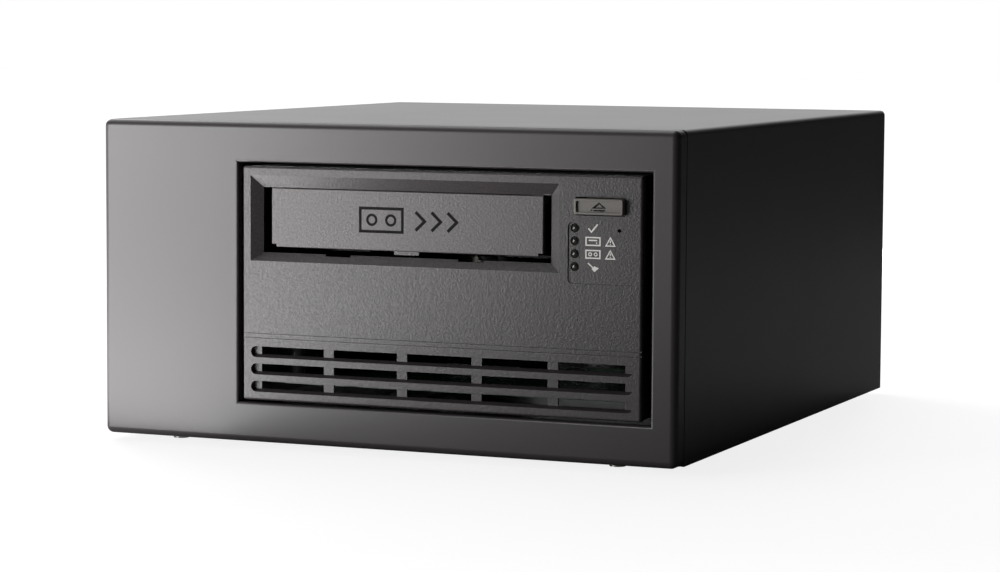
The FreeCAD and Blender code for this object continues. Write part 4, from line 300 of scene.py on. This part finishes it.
# On the tray and the sled this black is painted shade for the inside seen through the door gap.
materials["black_zinc_sheet"] = metal("black_passivated_zinc_and_painted_shade", "46464a", 0.45, 4.0, 0.003)
materials["contact_gold"] = metal("gold_flashed_contact", "d9b25a", 0.3, 0.5, 0.001)
materials["circuit_board"] = textured_plastic("green_solder_mask", "153d25", 3.0, 0.01, 0.3, 0.10)
print("finishes so far", sorted(materials))

# %% [markdown]
# ## The two printing inks
#
# The small signs are pad printed: a silicone pad lifts ink from an etched plate and presses it on. The
# white ink is satin and a little uneven. The dark ink is dead matt, so that it stays darker than the
# glossy plastic round it when both face a lamp. A low specular level does that, where a darker colour
# alone would not.

# %% Inks
white_ink, tree, shader, where = new_material("white_pad_print")
wear = add(tree, "ShaderNodeTexNoise", {"Scale": per_metre(0.3), "Detail": 2.0}, {"Vector": where})
sheen = add(tree, "ShaderNodeMapRange", {"To Min": 0.45, "To Max": 0.6}, {"Value": wear.outputs["Fac"]})
tree.links.new(sheen.outputs["Result"], shader.inputs["Roughness"])
shader.inputs["Base Color"].default_value = linear("dcd9d6")
# The same dark material also lies in the screw heads' cross recesses as painted shade.
dark_ink = textured_plastic("dark_pad_print_and_painted_shade", "121011", 0.3, 0.003, 0.85, 0.05)
dark_ink.node_tree.nodes["Principled BSDF"].inputs["Specular IOR Level"].default_value = 0.2
materials["white_ink"] = white_ink
materials["dark_ink"] = dark_ink
print("materials", len(bpy.data.materials))

# %% [markdown]
# ## Lamps
#
# Dark satin paint shows its lamps more than its own colour, so each lamp is placed for the surface that
# mirrors it. The key softbox stands to the front left. Its reflection lies just beyond the left end of
# the enclosure, so the paint is bright there and fades to the right. A second one lies just above the
# floor in front of the box, faces up, and carries that brightness down to the front's foot. The camera
# would see it as a bar on the floor, so it is hidden from camera rays. A large one above lights the top.
# Two light the rear panel: one high up at the drive's back left, and a small low one straight behind it,
# which the metal parts there mirror.

# %% Lamps


def add_lamp(name, place_mm, aim_mm, size_mm, watts):
    """A rectangular softbox at one place, turned to face another."""
    data = bpy.data.lights.new(name, "AREA")
    data.shape = "RECTANGLE"
    data.size, data.size_y = size_mm[0] * MM, size_mm[1] * MM
    data.energy = watts
    lamp = bpy.data.objects.new(name, data)
    scene.collection.objects.link(lamp)
    place = Vector(place_mm) * MM
    lamp.location = place
    lamp.rotation_euler = (Vector(aim_mm) * MM - place).to_track_quat("-Z", "Y").to_euler()
    return lamp


add_lamp("key_softbox", (-490, -690, 155), aim_mm=(-160, -125, 65), size_mm=(330, 300), watts=3.6)
low_key = add_lamp("low_key_softbox", (-225, -290, 2), aim_mm=(-225, -290, 500), size_mm=(310, 300),
                   watts=2.1)
low_key.visible_camera = False
add_lamp("top_softbox", (-400, 60, 1100), aim_mm=(0, 0, 80), size_mm=(900, 900), watts=5.0)
add_lamp("rear_softbox", (-1000, 700, 750), aim_mm=(0, 0, 60), size_mm=(600, 600), watts=6.0)
add_lamp("low_rear_softbox", (0, 900, 64), aim_mm=(0, 129, 60), size_mm=(200, 100), watts=1.5)

# %% [markdown]
# ## The world
#
# The background is plain white. If that white also lit the drive from all round, the dark paint would
# look grey, so what a ray meets depends on the kind of ray. A camera ray always meets white. A ray that
# was mirrored or refracted meets white only toward a wall at the back left, and near black elsewhere,
# because the right side of the box stands in the dark. As a light, the world is pale grey toward that
# wall and near black elsewhere. A picture of a studio could do this too. Two directions and a few nodes
# are easier to change.

# %% World
DARK_SIDE, WALL_SIDE = 0.02, 0.85


def meets_white(tree, share):
    """How white a ray's meeting is: 1 for a camera ray, share for a mirrored or refracted ray, or else 0."""
    rays = add(tree, "ShaderNodeLightPath")
    mirrored = add(tree, "ShaderNodeMath", {"operation": "ADD"},
                   {0: rays.outputs["Is Glossy Ray"], 1: rays.outputs["Is Transmission Ray"]})
    shared = add(tree, "ShaderNodeMath", {"operation": "MULTIPLY"}, {0: mirrored.outputs["Value"], 1: share})
    either = add(tree, "ShaderNodeMath", {"operation": "MAXIMUM"},
                 {0: rays.outputs["Is Camera Ray"], 1: shared.outputs["Value"]})
    return either.outputs["Value"]


world = bpy.data.worlds.new("studio_world")
scene.world = world
world.use_nodes = True
tree = world.node_tree
direction = add(tree, "ShaderNodeTexCoord").outputs["Generated"]
split = add(tree, "ShaderNodeSeparateXYZ", None, {"Vector": direction})
# Each rises from 0 to 1 over a part of the sky, one by the direction's X and the other by its Y.
to_left = add(tree, "ShaderNodeMapRange", {"From Min": 0.1, "From Max": -0.15}, {"Value": split.outputs["X"]})
to_back = add(tree, "ShaderNodeMapRange", {"From Min": 0.2, "From Max": 0.6}, {"Value": split.outputs["Y"]})
wall = add(tree, "ShaderNodeMath", {"operation": "MULTIPLY"},
           {0: to_left.outputs["Result"], 1: to_back.outputs["Result"]})
grey = add(tree, "ShaderNodeMapRange", {"To Min": DARK_SIDE, "To Max": WALL_SIDE},
           {"Value": wall.outputs["Value"]})
whole = add(tree, "ShaderNodeMix", {"data_type": "FLOAT", "B": 1.0},
            {"Factor": meets_white(tree, wall.outputs["Value"]), "A": grey.outputs["Result"]})
tree.links.new(whole.outputs["Result"], tree.nodes["Background"].inputs["Color"])
print("made", world.name)

# %% [markdown]
# ## The floor
#
# The drive stands on white paper. Under lamps this weak, white paper would look grey, and stronger lamps
# would wash out the dark paint. So the paper's own tone is a mid grey, which takes the drive's soft shadow
# and throws little light back at the box, and it glows for the camera. The glow grows to full white away
# from the drive, so the floor meets the white background without a line. Mirrored rays meet the glow only
# on the left, and the right side of the box stays dark.

# %% Floor
FLOOR_REACH = 6.0
GLOW_STARTS, GLOW_IS_FULL = 0.3, 0.9
NEAR_GLOW, FULL_GLOW = 0.84, 1.0
DARK_FROM_X, LIT_FROM_X = -0.05, -0.25

floor_mesh = bpy.data.meshes.new("floor")
floor_corners = [(x * FLOOR_REACH, y * FLOOR_REACH, 0) for x, y in ((-1, -1), (1, -1), (1, 1), (-1, 1))]
floor_mesh.from_pydata(floor_corners, [], [(0, 1, 2, 3)])
floor = bpy.data.objects.new("floor", floor_mesh)
scene.collection.objects.link(floor)

paper, tree, shader, where = new_material("white_paper_floor")
shader.inputs["Roughness"].default_value = 0.9
shader.inputs["Emission Color"].default_value = (1.0, 1.0, 1.0, 1.0)
fibre = add(tree, "ShaderNodeTexNoise", {"Scale": per_metre(3.0)}, {"Vector": where})
tone = add(tree, "ShaderNodeMapRange", {"To Min": 0.20, "To Max": 0.23}, {"Value": fibre.outputs["Fac"]})
tree.links.new(tone.outputs["Result"], shader.inputs["Base Color"])
away = add(tree, "ShaderNodeVectorMath", {"operation": "LENGTH"}, {"Vector": where})
glow = add(tree, "ShaderNodeMapRange",
           {"From Min": GLOW_STARTS, "From Max": GLOW_IS_FULL, "To Min": NEAR_GLOW, "To Max": FULL_GLOW},
           {"Value": away.outputs["Value"]})
split = add(tree, "ShaderNodeSeparateXYZ", None, {"Vector": where})
lit_side = add(tree, "ShaderNodeMapRange", {"From Min": DARK_FROM_X, "From Max": LIT_FROM_X},
               {"Value": split.outputs["X"]})
lift = add(tree, "ShaderNodeMath", {"operation": "MULTIPLY"},
           {0: meets_white(tree, lit_side.outputs["Result"]), 1: glow.outputs["Result"]})
tree.links.new(lift.outputs["Value"], shader.inputs["Emission Strength"])
floor_mesh.materials.append(paper)
# The Standard view shows each colour as it is worked out, so that a strength of 1 is white.
scene.view_settings.view_transform = "Standard"
print("floor", 2 * FLOOR_REACH, "m across")

# %% [markdown]
# ## Bodies and colour slots
#
# The engineering model says which body each node moves with and which colour slot it has, so that a
# finished piece can take both over. Four helpers do the handling: they open a node as an editable shape,
# close a shape as a mesh, take the mesh that an object's modifiers give, and put a finished mesh in the
# scene on its body. Pieces could be parented by hand, but a forgotten one would stay behind when the
# drive moves.

# %% Pieces on their bodies
MERGE_MM = 0.002

body_of_node = {}
for body, nodes in frame["record"]["behaviour"]["bodies"].items():
    for node in nodes:
        body_of_node[node] = body
slot_of_node = {part["node"]: part["material_slot"] for part in frame["record"]["subparts"]}


def merged_shape(node):
    """A CAD node as one editable shape, with its doubled points joined."""
    shape = bmesh.new()
    shape.from_mesh(frame["nodes"][node].data)
    bmesh.ops.remove_doubles(shape, verts=shape.verts, dist=MERGE_MM * MM)
    return shape


def as_mesh(shape, name):
    """Turns an editable shape into a mesh and frees it."""
    mesh = bpy.data.meshes.new(name)
    shape.to_mesh(mesh)
    shape.free()
    return mesh


def evaluated_mesh(holder):
    """The plain mesh that an object's modifiers or type give. The object itself is removed."""
    scene.collection.objects.link(holder)
    evaluated = holder.evaluated_get(bpy.context.evaluated_depsgraph_get())
    mesh = bpy.data.meshes.new_from_object(evaluated)
    bpy.data.objects.remove(holder)
    return mesh


def place_piece(name, mesh, body, material):
    """Puts a finished mesh in the scene on its body, with the given material."""
    piece = bpy.data.objects.new(name, mesh)
    scene.collection.objects.link(piece)
    mesh.materials.clear()
    mesh.materials.append(material)
    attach(piece, body)
    return piece


print("nodes with a body", len(body_of_node), "slots", sorted(set(slot_of_node.values())))

# %% [markdown]
# ## From engineering solid to finished piece
#
# The engineering model's meshes are loose triangles. Each visible piece gets a clean copy: the doubled
# points are joined, flat regions become single faces again, and round faces are shaded smooth while
# edges stay crisp. Where a real moulded or folded edge is slightly broken, a narrow bevel adds the thin
# line of light that such an edge catches. Subdivision would also round edges, but it would move every
# surface.

# %% Clean copies
FLAT_ANGLE, CREASE_ANGLE, BROKEN_ANGLE = radians(0.5), radians(30), radians(40)


def with_flat_faces_kept_flat(mesh):
    """Weights the smooth normals by face size, so a round never bends the light on the flat beside it."""
    carrier = bpy.data.objects.new("carrier", mesh)
    weighting = carrier.modifiers.new("weighting", "WEIGHTED_NORMAL")
    weighting.keep_sharp = True
    weighting.weight = 100
    return evaluated_mesh(carrier)


def clean_copy(node, material, bevel_mm):
    """A CAD node as a clean mesh with smooth rounds and, where bevel_mm isn't 0, broken edges."""
    shape = merged_shape(node)
    bmesh.ops.dissolve_limit(shape, angle_limit=FLAT_ANGLE, verts=shape.verts, edges=shape.edges)
    if bevel_mm:
        sharp = [e for e in shape.edges if e.is_manifold and e.calc_face_angle() > BROKEN_ANGLE]
        bmesh.ops.bevel(shape, geom=sharp, offset=bevel_mm * MM, segments=2, profile=0.5, affect="EDGES",
                        clamp_overlap=True)
    for face in shape.faces:
        face.smooth = True
    for edge in shape.edges:
        edge.smooth = not edge.is_manifold or edge.calc_face_angle() < CREASE_ANGLE
    mesh = with_flat_faces_kept_flat(as_mesh(shape, node))
    piece = place_piece("finished_" + node, mesh, body_of_node[node], material)
    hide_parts(node)
    return piece


BROKEN_EDGES = {"power_rocker": 0.15, "address_button_down": 0.1, "address_button_up": 0.1,
                "mains_inlet": 0.2, "power_switch": 0.2, "address_switch": 0.2, "bus_connectors": 0.15}
# The door's lighter plastic is its own colour. The tray and the sled take black sheet as painted shade, so
# the inside seen through the door gap stays dark.
OWN_FINISH_AND_PAINTED_SHADE = {"tape_door": "door_plastic", "cartridge_tray": "black_zinc_sheet",
              "loader_sled": "black_zinc_sheet"}
for node in list(frame["nodes"]):
    finish = OWN_FINISH_AND_PAINTED_SHADE.get(node, slot_of_node[node])
    clean_copy(node, materials[finish], BROKEN_EDGES.get(node, 0.0))
print("clean copies", len(frame["nodes"]))

# %% [markdown]
# ## How a printed mark is drawn
#
# Marks could be part of a texture. Thin flat shapes are crisper from close by, and they can be coloured on
# their own. Each mark is drawn once, in millimetres from the middle of the enclosure's foot, as strokes
# with mitred corners, rings and discs. The pieces of one mark never overlap, because two faces in one
# place would flicker. A film of ink three hundredths of a millimetre thick then lies on the surface.

# %% Strokes, rings and the film of ink
INK_MM = 0.03


def stroke(points, width, closed=False):
    """A line through points, cut at each corner like a picture frame, as four-cornered pieces."""
    count = len(points)
    runs = [(Vector(points[(i + 1) % count]) - Vector(points[i])).normalized() for i in range(count)]
    if not closed:
        runs[-1] = runs[-2]
    edges = []
    for i in range(count):
        coming = runs[i - 1] if closed or i else runs[0]
        going = runs[i]
        mitre = Vector((-coming.y - going.y, coming.x + going.x)).normalized()
        reach = width / 2 / mitre.dot(Vector((-coming.y, coming.x)))
        middle = Vector(points[i])
        edges.append((middle + mitre * reach, middle - mitre * reach))
    following = edges[1:] + edges[:1] if closed else edges[1:]
    return [[start[0], start[1], end[1], end[0]] for start, end in zip(edges, following)]


def disc(x, z, radius, count=24):
    """The corners of a round dot."""
    angles = [2 * pi * i / count for i in range(count)]
    return [(x + radius * cos(angle), z + radius * sin(angle)) for angle in angles]


def ring(x, z, radius, width, count=28):
    """A round line."""
    return stroke(disc(x, z, radius, count), width, closed=True)


def frame_line(x0, z0, x1, z1, width):
    """A rectangular line between two corners."""
    return stroke([(x0, z0), (x1, z0), (x1, z1), (x0, z1)], width, closed=True)


def flat_mark(name, shapes, face_y, material, body):
    """Prints shapes on a front surface that lies at face_y, in metres, as a thin film."""
    shape = bmesh.new()
    for corners in shapes:
        area = sum(ax * bz - bx * az for (ax, az), (bx, bz) in zip(corners, corners[1:] + corners[:1]))
        ordered = corners if area > 0 else corners[::-1]
        front = [shape.verts.new((x * MM, face_y - INK_MM * MM, z * MM + corner.z)) for x, z in ordered]
        back = [shape.verts.new((v.co.x, face_y, v.co.z)) for v in front]
        shape.faces.new(front)
        shape.faces.new(back[::-1])
        for i in range(len(front)):
            j = (i + 1) % len(front)
            shape.faces.new((front[j], front[i], back[i], back[j]))
    return place_piece(name, as_mesh(shape, name), body, material)


print("a square line has", len(frame_line(0, 0, 1, 1, 0.1)), "pieces")

# %% [markdown]
# ## The signs beside the four lamps
#
# The signs are white: a tick for ready, a drive with a fault sign, a cassette with a fault sign, and a
# brush for cleaning. Their four rows lie level with the four lenses, so the rows' heights are read from
# the lenses' own box. The field they are printed on is a little lower than the bezel's face.

# %% Lamp signs
LENS_R, LABEL_DEPTH = 1.3, 0.4
SIGN_X, FAULT_X = 79.2, 85.4
LINE, FAULT_LINE, FAULT_STROKE = 0.46, 0.4, 0.36
HALF_WIDE, HALF_HIGH = 2.5, 1.3

lens_low, lens_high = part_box("status_lenses")
top_row = (lens_high.z - corner.z) / MM - LENS_R
foot_row = (lens_low.z - corner.z) / MM + LENS_R
rows = [top_row + (foot_row - top_row) * i / 3 for i in range(4)]


def fault_sign(x, z):
    """The usual triangle with a stroke and a dot."""
    outline = stroke([(x - 1.6, z - 1.35), (x + 1.6, z - 1.35), (x, z + 1.4)], FAULT_LINE, closed=True)
    return outline + stroke([(x, z + 0.5), (x, z - 0.3)], FAULT_STROKE) + [disc(x, z - 0.76, 0.2, 12)]


def sign_box(z):
    """The outline that the drive sign and the cassette sign share."""
    return frame_line(SIGN_X - HALF_WIDE, z - HALF_HIGH, SIGN_X + HALF_WIDE, z + HALF_HIGH, LINE)


tick = stroke([(SIGN_X - 1.7, rows[0]), (SIGN_X - 0.6, rows[0] - 1.2), (SIGN_X + 1.6, rows[0] + 1.4)], LINE)
drive_sign = sign_box(rows[1])
drive_sign += stroke([(SIGN_X - 1.5, rows[1] + 0.35), (SIGN_X + 1.5, rows[1] + 0.35)], LINE)
drive_sign += [disc(SIGN_X + 1.3, rows[1] - 0.5, 0.24, 12)]
tape_sign = sign_box(rows[2])
tape_sign += ring(SIGN_X - 1.0, rows[2], 0.52, 0.34, 16) + ring(SIGN_X + 1.0, rows[2], 0.52, 0.34, 16)
brush = stroke([(SIGN_X - 1.8, rows[3] + 1.4), (SIGN_X, rows[3] - 0.1)], LINE)
brush += [[(SIGN_X - 0.4, rows[3] - 0.6), (SIGN_X + 0.5, rows[3] + 0.4), (SIGN_X + 2.1, rows[3] - 0.3),
           (SIGN_X + 0.6, rows[3] - 1.6)]]
signs = tick + drive_sign + fault_sign(FAULT_X, rows[1])
signs += tape_sign + fault_sign(FAULT_X, rows[2]) + brush
label_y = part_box("drive_bezel")[0].y + LABEL_DEPTH * MM
flat_mark("lamp_signs", signs, label_y, materials["white_ink"], body_of_node["drive_bezel"])
print("rows of signs in mm", [round(z, 2) for z in rows])

# %% [markdown]
# ## The signs on the door and the button
#
# The door carries a dark cassette sign with three arrows beside it: a cassette goes in here. The button
# has the usual eject sign, a triangle over a bar, at the bottom of its shallow dish. Both lie on their
# piece's own front, so their depth is read from its box, and both ride on it when it moves.

# %% Door sign and eject sign
SIGN_MID = 80.0
REEL_X, REEL_R = 3.6, 1.7
ARROWS_X, ARROW_WIDE, ARROW_HALF = (13.0, 19.0, 25.0), 3.4, 3.2
door_sign = frame_line(-8.0, SIGN_MID - 4.0, 8.0, SIGN_MID + 4.0, 1.0)
door_sign += ring(-REEL_X, SIGN_MID, REEL_R, 0.9) + ring(REEL_X, SIGN_MID, REEL_R, 0.9)
for x in ARROWS_X:
    arrow = [(x, SIGN_MID - ARROW_HALF), (x + ARROW_WIDE, SIGN_MID), (x, SIGN_MID + ARROW_HALF)]
    door_sign += stroke(arrow, 1.1)
flat_mark("door_sign", door_sign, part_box("tape_door")[0].y, materials["dark_ink"],
          body_of_node["tape_door"])

DISH_DEPTH = 0.8
EJECT_HALF = 1.9
button_low, button_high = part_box("eject_button")
button_x = (button_low.x + button_high.x) / 2 / MM
button_z = ((button_low.z + button_high.z) / 2 - corner.z) / MM
triangle = [(button_x - EJECT_HALF, button_z - 0.4), (button_x + EJECT_HALF, button_z - 0.4),
            (button_x, button_z + 1.3)]
bar = [(button_x - EJECT_HALF, button_z - 1.25), (button_x + EJECT_HALF, button_z - 1.25)]
eject_sign = stroke(triangle, 0.35, closed=True) + stroke(bar, 0.4)
flat_mark("eject_sign", eject_sign, button_low.y + DISH_DEPTH * MM, materials["dark_ink"],
          body_of_node["eject_button"])
print("button sign at", round(button_x, 2), round(button_z, 2), "mm")

# %% [markdown]
# ## A tree for what repeats
#
# Each bus connector holds two rows of gold-flashed contacts, and the address wheel has small ribs round
# its rim for a fingertip. Things that repeat exactly are made by a node tree. A line or a circle gives the
# places, one block is put on each of them, and the result is made real as one mesh. An array modifier
# would do for the rows, but the same kind of tree serves both here, and its numbers keep their names.

# %% Repeating blocks


def repeat_tree(name, places):
    """A tree that puts a block on each of its places: along a line, or on a circle about the X axis."""
    tree = bpy.data.node_groups.new(name, "GeometryNodeTree")
    tree.interface.new_socket("Geometry", in_out="OUTPUT", socket_type="NodeSocketGeometry")
    tree.interface.new_socket("Count", in_out="INPUT", socket_type="NodeSocketInt")
    tree.interface.new_socket("Spacing", in_out="INPUT", socket_type="NodeSocketFloat")
    tree.interface.new_socket("Block", in_out="INPUT", socket_type="NodeSocketVector")
    tree.interface.new_socket("Material", in_out="INPUT", socket_type="NodeSocketMaterial")
    given = add(tree, "NodeGroupInput")
    result = add(tree, "NodeGroupOutput")
    block = add(tree, "GeometryNodeMeshCube", None, {"Size": given.outputs["Block"]})
    if places == "line":
        step = add(tree, "ShaderNodeCombineXYZ", None, {"X": given.outputs["Spacing"]})
        points = add(tree, "GeometryNodeMeshLine", None,
                     {"Count": given.outputs["Count"], "Offset": step.outputs["Vector"]})
        spots = points.outputs["Mesh"]
        facing = {}
    else:
        points = add(tree, "GeometryNodeMeshCircle", None,
                     {"Vertices": given.outputs["Count"], "Radius": given.outputs["Spacing"]})
        turned = add(tree, "GeometryNodeTransform", {"Rotation": (0.0, pi / 2, 0.0)},
                     {"Geometry": points.outputs["Mesh"]})
        spots = turned.outputs["Geometry"]
        outward = add(tree, "GeometryNodeInputPosition")
        aligned = add(tree, "FunctionNodeAlignRotationToVector", {"axis": "Z", "pivot_axis": "X"},
                      {"Vector": outward.outputs["Position"]})
        facing = {"Rotation": aligned.outputs["Rotation"]}
    copies = add(tree, "GeometryNodeInstanceOnPoints", None,
                 {"Points": spots, "Instance": block.outputs["Mesh"], **facing})
    real = add(tree, "GeometryNodeRealizeInstances", None, {"Geometry": copies.outputs["Instances"]})
    coloured = add(tree, "GeometryNodeSetMaterial", None,
                   {"Geometry": real.outputs["Geometry"], "Material": given.outputs["Material"]})
    tree.links.new(coloured.outputs["Geometry"], result.inputs["Geometry"])
    return tree


def repeated_mesh(name, tree, values, place):
    """Runs the tree with its named inputs set, and gives the plain mesh, moved to its place in metres."""
    holder = bpy.data.objects.new(name + "_holder", bpy.data.meshes.new(name + "_holder"))
    modifier = holder.modifiers.new("repeat", "NODES")
    modifier.node_group = tree
    for item in tree.interface.items_tree:
        if item.in_out == "INPUT":
            modifier[item.identifier] = values[item.name]
    mesh = evaluated_mesh(holder)
    mesh.transform(Matrix.Translation(place))
    return mesh


row_tree = repeat_tree("row_of_blocks", "line")
ring_tree = repeat_tree("ring_of_blocks", "circle")
print("trees", row_tree.name, ring_tree.name)

# %% [markdown]
# ## Gold contacts in the bus connectors
#
# The two connectors have their rows above and below the tongue in each shell. Gold is plated on because it
# never tarnishes, so a contact that is plugged in once a year still works. The middles of the shells are
# worked out from the connectors' own box, and the contacts end just inside the shells' rims.

# %% Bus contacts
CONTACTS, CONTACT_PITCH = 34, 1.0
CONTACT_SIZE = (0.5, 6.4, 0.16)
SHELL_HALF_HIGH = 4.0
FROM_TONGUE = 1.06
MIDDLE_BEHIND_FACE = 2.4

bus_low, bus_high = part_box("bus_connectors")
contacts_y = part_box("rear_panel")[1].y - MIDDLE_BEHIND_FACE * MM
first_x = (bus_low.x + bus_high.x) / 2 - (CONTACTS - 1) * CONTACT_PITCH / 2 * MM
shells = (bus_high.z - SHELL_HALF_HIGH * MM, bus_low.z + SHELL_HALF_HIGH * MM)
contact_rows = [middle + side * FROM_TONGUE * MM for middle in shells for side in (-1, 1)]
contact_values = {"Count": CONTACTS, "Spacing": CONTACT_PITCH * MM, "Block": [v * MM for v in CONTACT_SIZE],
                  "Material": materials["contact_gold"]}
for number, row_z in enumerate(contact_rows, start=1):
    mesh = repeated_mesh("contacts", row_tree, contact_values, Vector((first_x, contacts_y, row_z)))
    place_piece("bus_contacts_" + str(number), mesh, body_of_node["bus_connectors"],
                materials["contact_gold"])
print("contacts", len(contact_rows) * CONTACTS)

# %% [markdown]
# ## Grip ribs on the address wheel
#
# The wheel sets the drive's number on the bus, and a fingertip turns it. Ribs on both sides of the number
# band give the finger something to push. They are moulded with the wheel, so they have its colour and
# ride on it. They are the same tree with its places on a circle.

# %% Wheel ribs
WHEEL_R = 5.0
RIBS, RIB_SIZE, RIBS_FROM_MIDDLE = 40, (0.8, 0.35, 0.24), 2.5

wheel_low, wheel_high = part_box("address_wheel")
wheel_middle = (wheel_low + wheel_high) / 2
wheel_middle.z = wheel_high.z - WHEEL_R * MM
rib_values = {"Count": RIBS, "Spacing": WHEEL_R * MM, "Block": [v * MM for v in RIB_SIZE],
              "Material": materials["white_plastic"]}
for side, name in ((-1, "wheel_ribs_left"), (1, "wheel_ribs_right")):
    place = wheel_middle + Vector((side * RIBS_FROM_MIDDLE * MM, 0, 0))
    mesh = repeated_mesh("ribs", ring_tree, rib_values, place)
    place_piece(name, mesh, body_of_node["address_wheel"], materials["white_plastic"])
print("ribs", 2 * RIBS)

# %% [markdown]
# ## Numbers round the wheel
#
# The wheel shows one number at a time in its window, so the numbers 0 to 9 run round its rim. On the real
# wheel they are hot-foil prints. Here each is set as type, turned into a mesh and bent round the rim,
# which keeps its outline crisp where a picture would blur.

# %% Wheel numbers
NUMBERS = 10
TYPE_SIZE = 2.6


def number_on_wheel(digit):
    """One number as a mesh, bent round the wheel. Number 0 is at the window."""
    curve = bpy.data.curves.new("digit", "FONT")
    curve.body = str(digit)
    curve.size = TYPE_SIZE * MM
    curve.align_x = "CENTER"
    curve.align_y = "CENTER"
    mesh = evaluated_mesh(bpy.data.objects.new("digit_holder", curve))
    radius = (WHEEL_R + INK_MM) * MM
    for v in mesh.vertices:
        turn = v.co.y / radius + digit * 2 * pi / NUMBERS
        v.co = wheel_middle + Vector((-v.co.x, radius * cos(turn), radius * sin(turn)))
    return mesh


for digit in range(NUMBERS):
    place_piece("wheel_number_" + str(digit), number_on_wheel(digit), body_of_node["address_wheel"],
                materials["dark_ink"])
print("numbers", NUMBERS)

# %% [markdown]
# ## The switch signs
#
# The power rocker carries the usual line for on and circle for off. Its two halves slope against each
# other, so each sign is laid on its own slope. The slopes are the rocker's two largest faces that look
# backward, which stays true if the rocker's size is changed.

# %% Switch signs


def signs_on_faces(name, shapes, centres, normal, material, body):
    """Lays the same flat shapes, in millimetres, on faces that look one way."""
    upward = Vector((0, 0, 1)) if abs(normal.z) < 0.9 else Vector((0, 1, 0))
    up = (upward - normal * normal.dot(upward)).normalized()
    right = up.cross(normal)
    shape = bmesh.new()
    for centre in centres:
        for corners in shapes:
            outline = [shape.verts.new(centre + (right * x + up * z + normal * INK_MM) * MM)
                       for x, z in corners]
            face = shape.faces.new(outline)
            face.normal_update()
            if face.normal.dot(normal) < 0:
                face.normal_flip()
    return place_piece(name, as_mesh(shape, name), body, material)


rocker = bpy.data.objects["finished_power_rocker"].data
rear_facing = [p for p in rocker.polygons if p.normal.y > 0.8]
slopes = sorted(sorted(rear_facing, key=lambda p: p.area)[-2:], key=lambda p: p.center.x)
rocker_signs = {"off_sign": ring(0, 0, 1.7, 0.5), "on_sign": stroke([(0, -1.9), (0, 1.9)], 0.6)}
for (name, shapes), face in zip(rocker_signs.items(), slopes):
    signs_on_faces(name, shapes, [face.center.copy()], face.normal.copy(), materials["white_ink"],
                   body_of_node["power_rocker"])
print("rocker faces at x", [round(p.center.x / MM, 1) for p in slopes])

# %% [markdown]
# ## Cross recesses in the screw heads
#
# Every outside screw has a cross recess. Punching it into each head would be true to life. At this size
# the eye only sees the dark shade in it, so a flat dark cross of painted shade lies on each head. The
# middle of each head is found from the loose pieces of the screws' own meshes.

# %% Screw recesses as painted shade
ARM, HALF_ARM_WIDTH = 1.2, 0.28


def head_centres(node, normal):
    """The middle of the outermost end of each separate screw in a node."""
    shape = merged_shape(node)
    done = set()
    centres = []
    for start in shape.verts:
        if start in done:
            continue
        island, reached = set(), [start]
        while reached:
            v = reached.pop()
            if v not in island:
                island.add(v)
                reached += [e.other_vert(v) for e in v.link_edges]
        done |= island
        low = Vector([min(v.co[i] for v in island) for i in range(3)])
        high = Vector([max(v.co[i] for v in island) for i in range(3)])
        middle, half = (low + high) / 2, (high - low) / 2
        centres.append(middle + Vector([normal[i] * half[i] for i in range(3)]))
    shape.free()
    return centres


def bar_shape(x0, z0, x1, z1):
    """The four corners of a filled bar."""
    return [(x0, z0), (x1, z0), (x1, z1), (x0, z1)]


BACKWARD, DOWNWARD = Vector((0, 1, 0)), Vector((0, 0, -1))
SCREW_FACING = {"rear_screws": BACKWARD, "front_panel_screws": DOWNWARD, "foot_screws": DOWNWARD}
cross = [bar_shape(-ARM, -HALF_ARM_WIDTH, ARM, HALF_ARM_WIDTH),
         bar_shape(-HALF_ARM_WIDTH, HALF_ARM_WIDTH, HALF_ARM_WIDTH, ARM),
         bar_shape(-HALF_ARM_WIDTH, -ARM, HALF_ARM_WIDTH, -HALF_ARM_WIDTH)]
# Each dark cross is painted shade: it lies where the hollow of the recess would be in shade.
for node, facing in SCREW_FACING.items():
    centres = head_centres(node, facing)
    signs_on_faces(node + "_painted_recess_shade", cross, centres, facing, materials["dark_ink"], body_of_node[node])
    print(node, len(centres), "recesses")
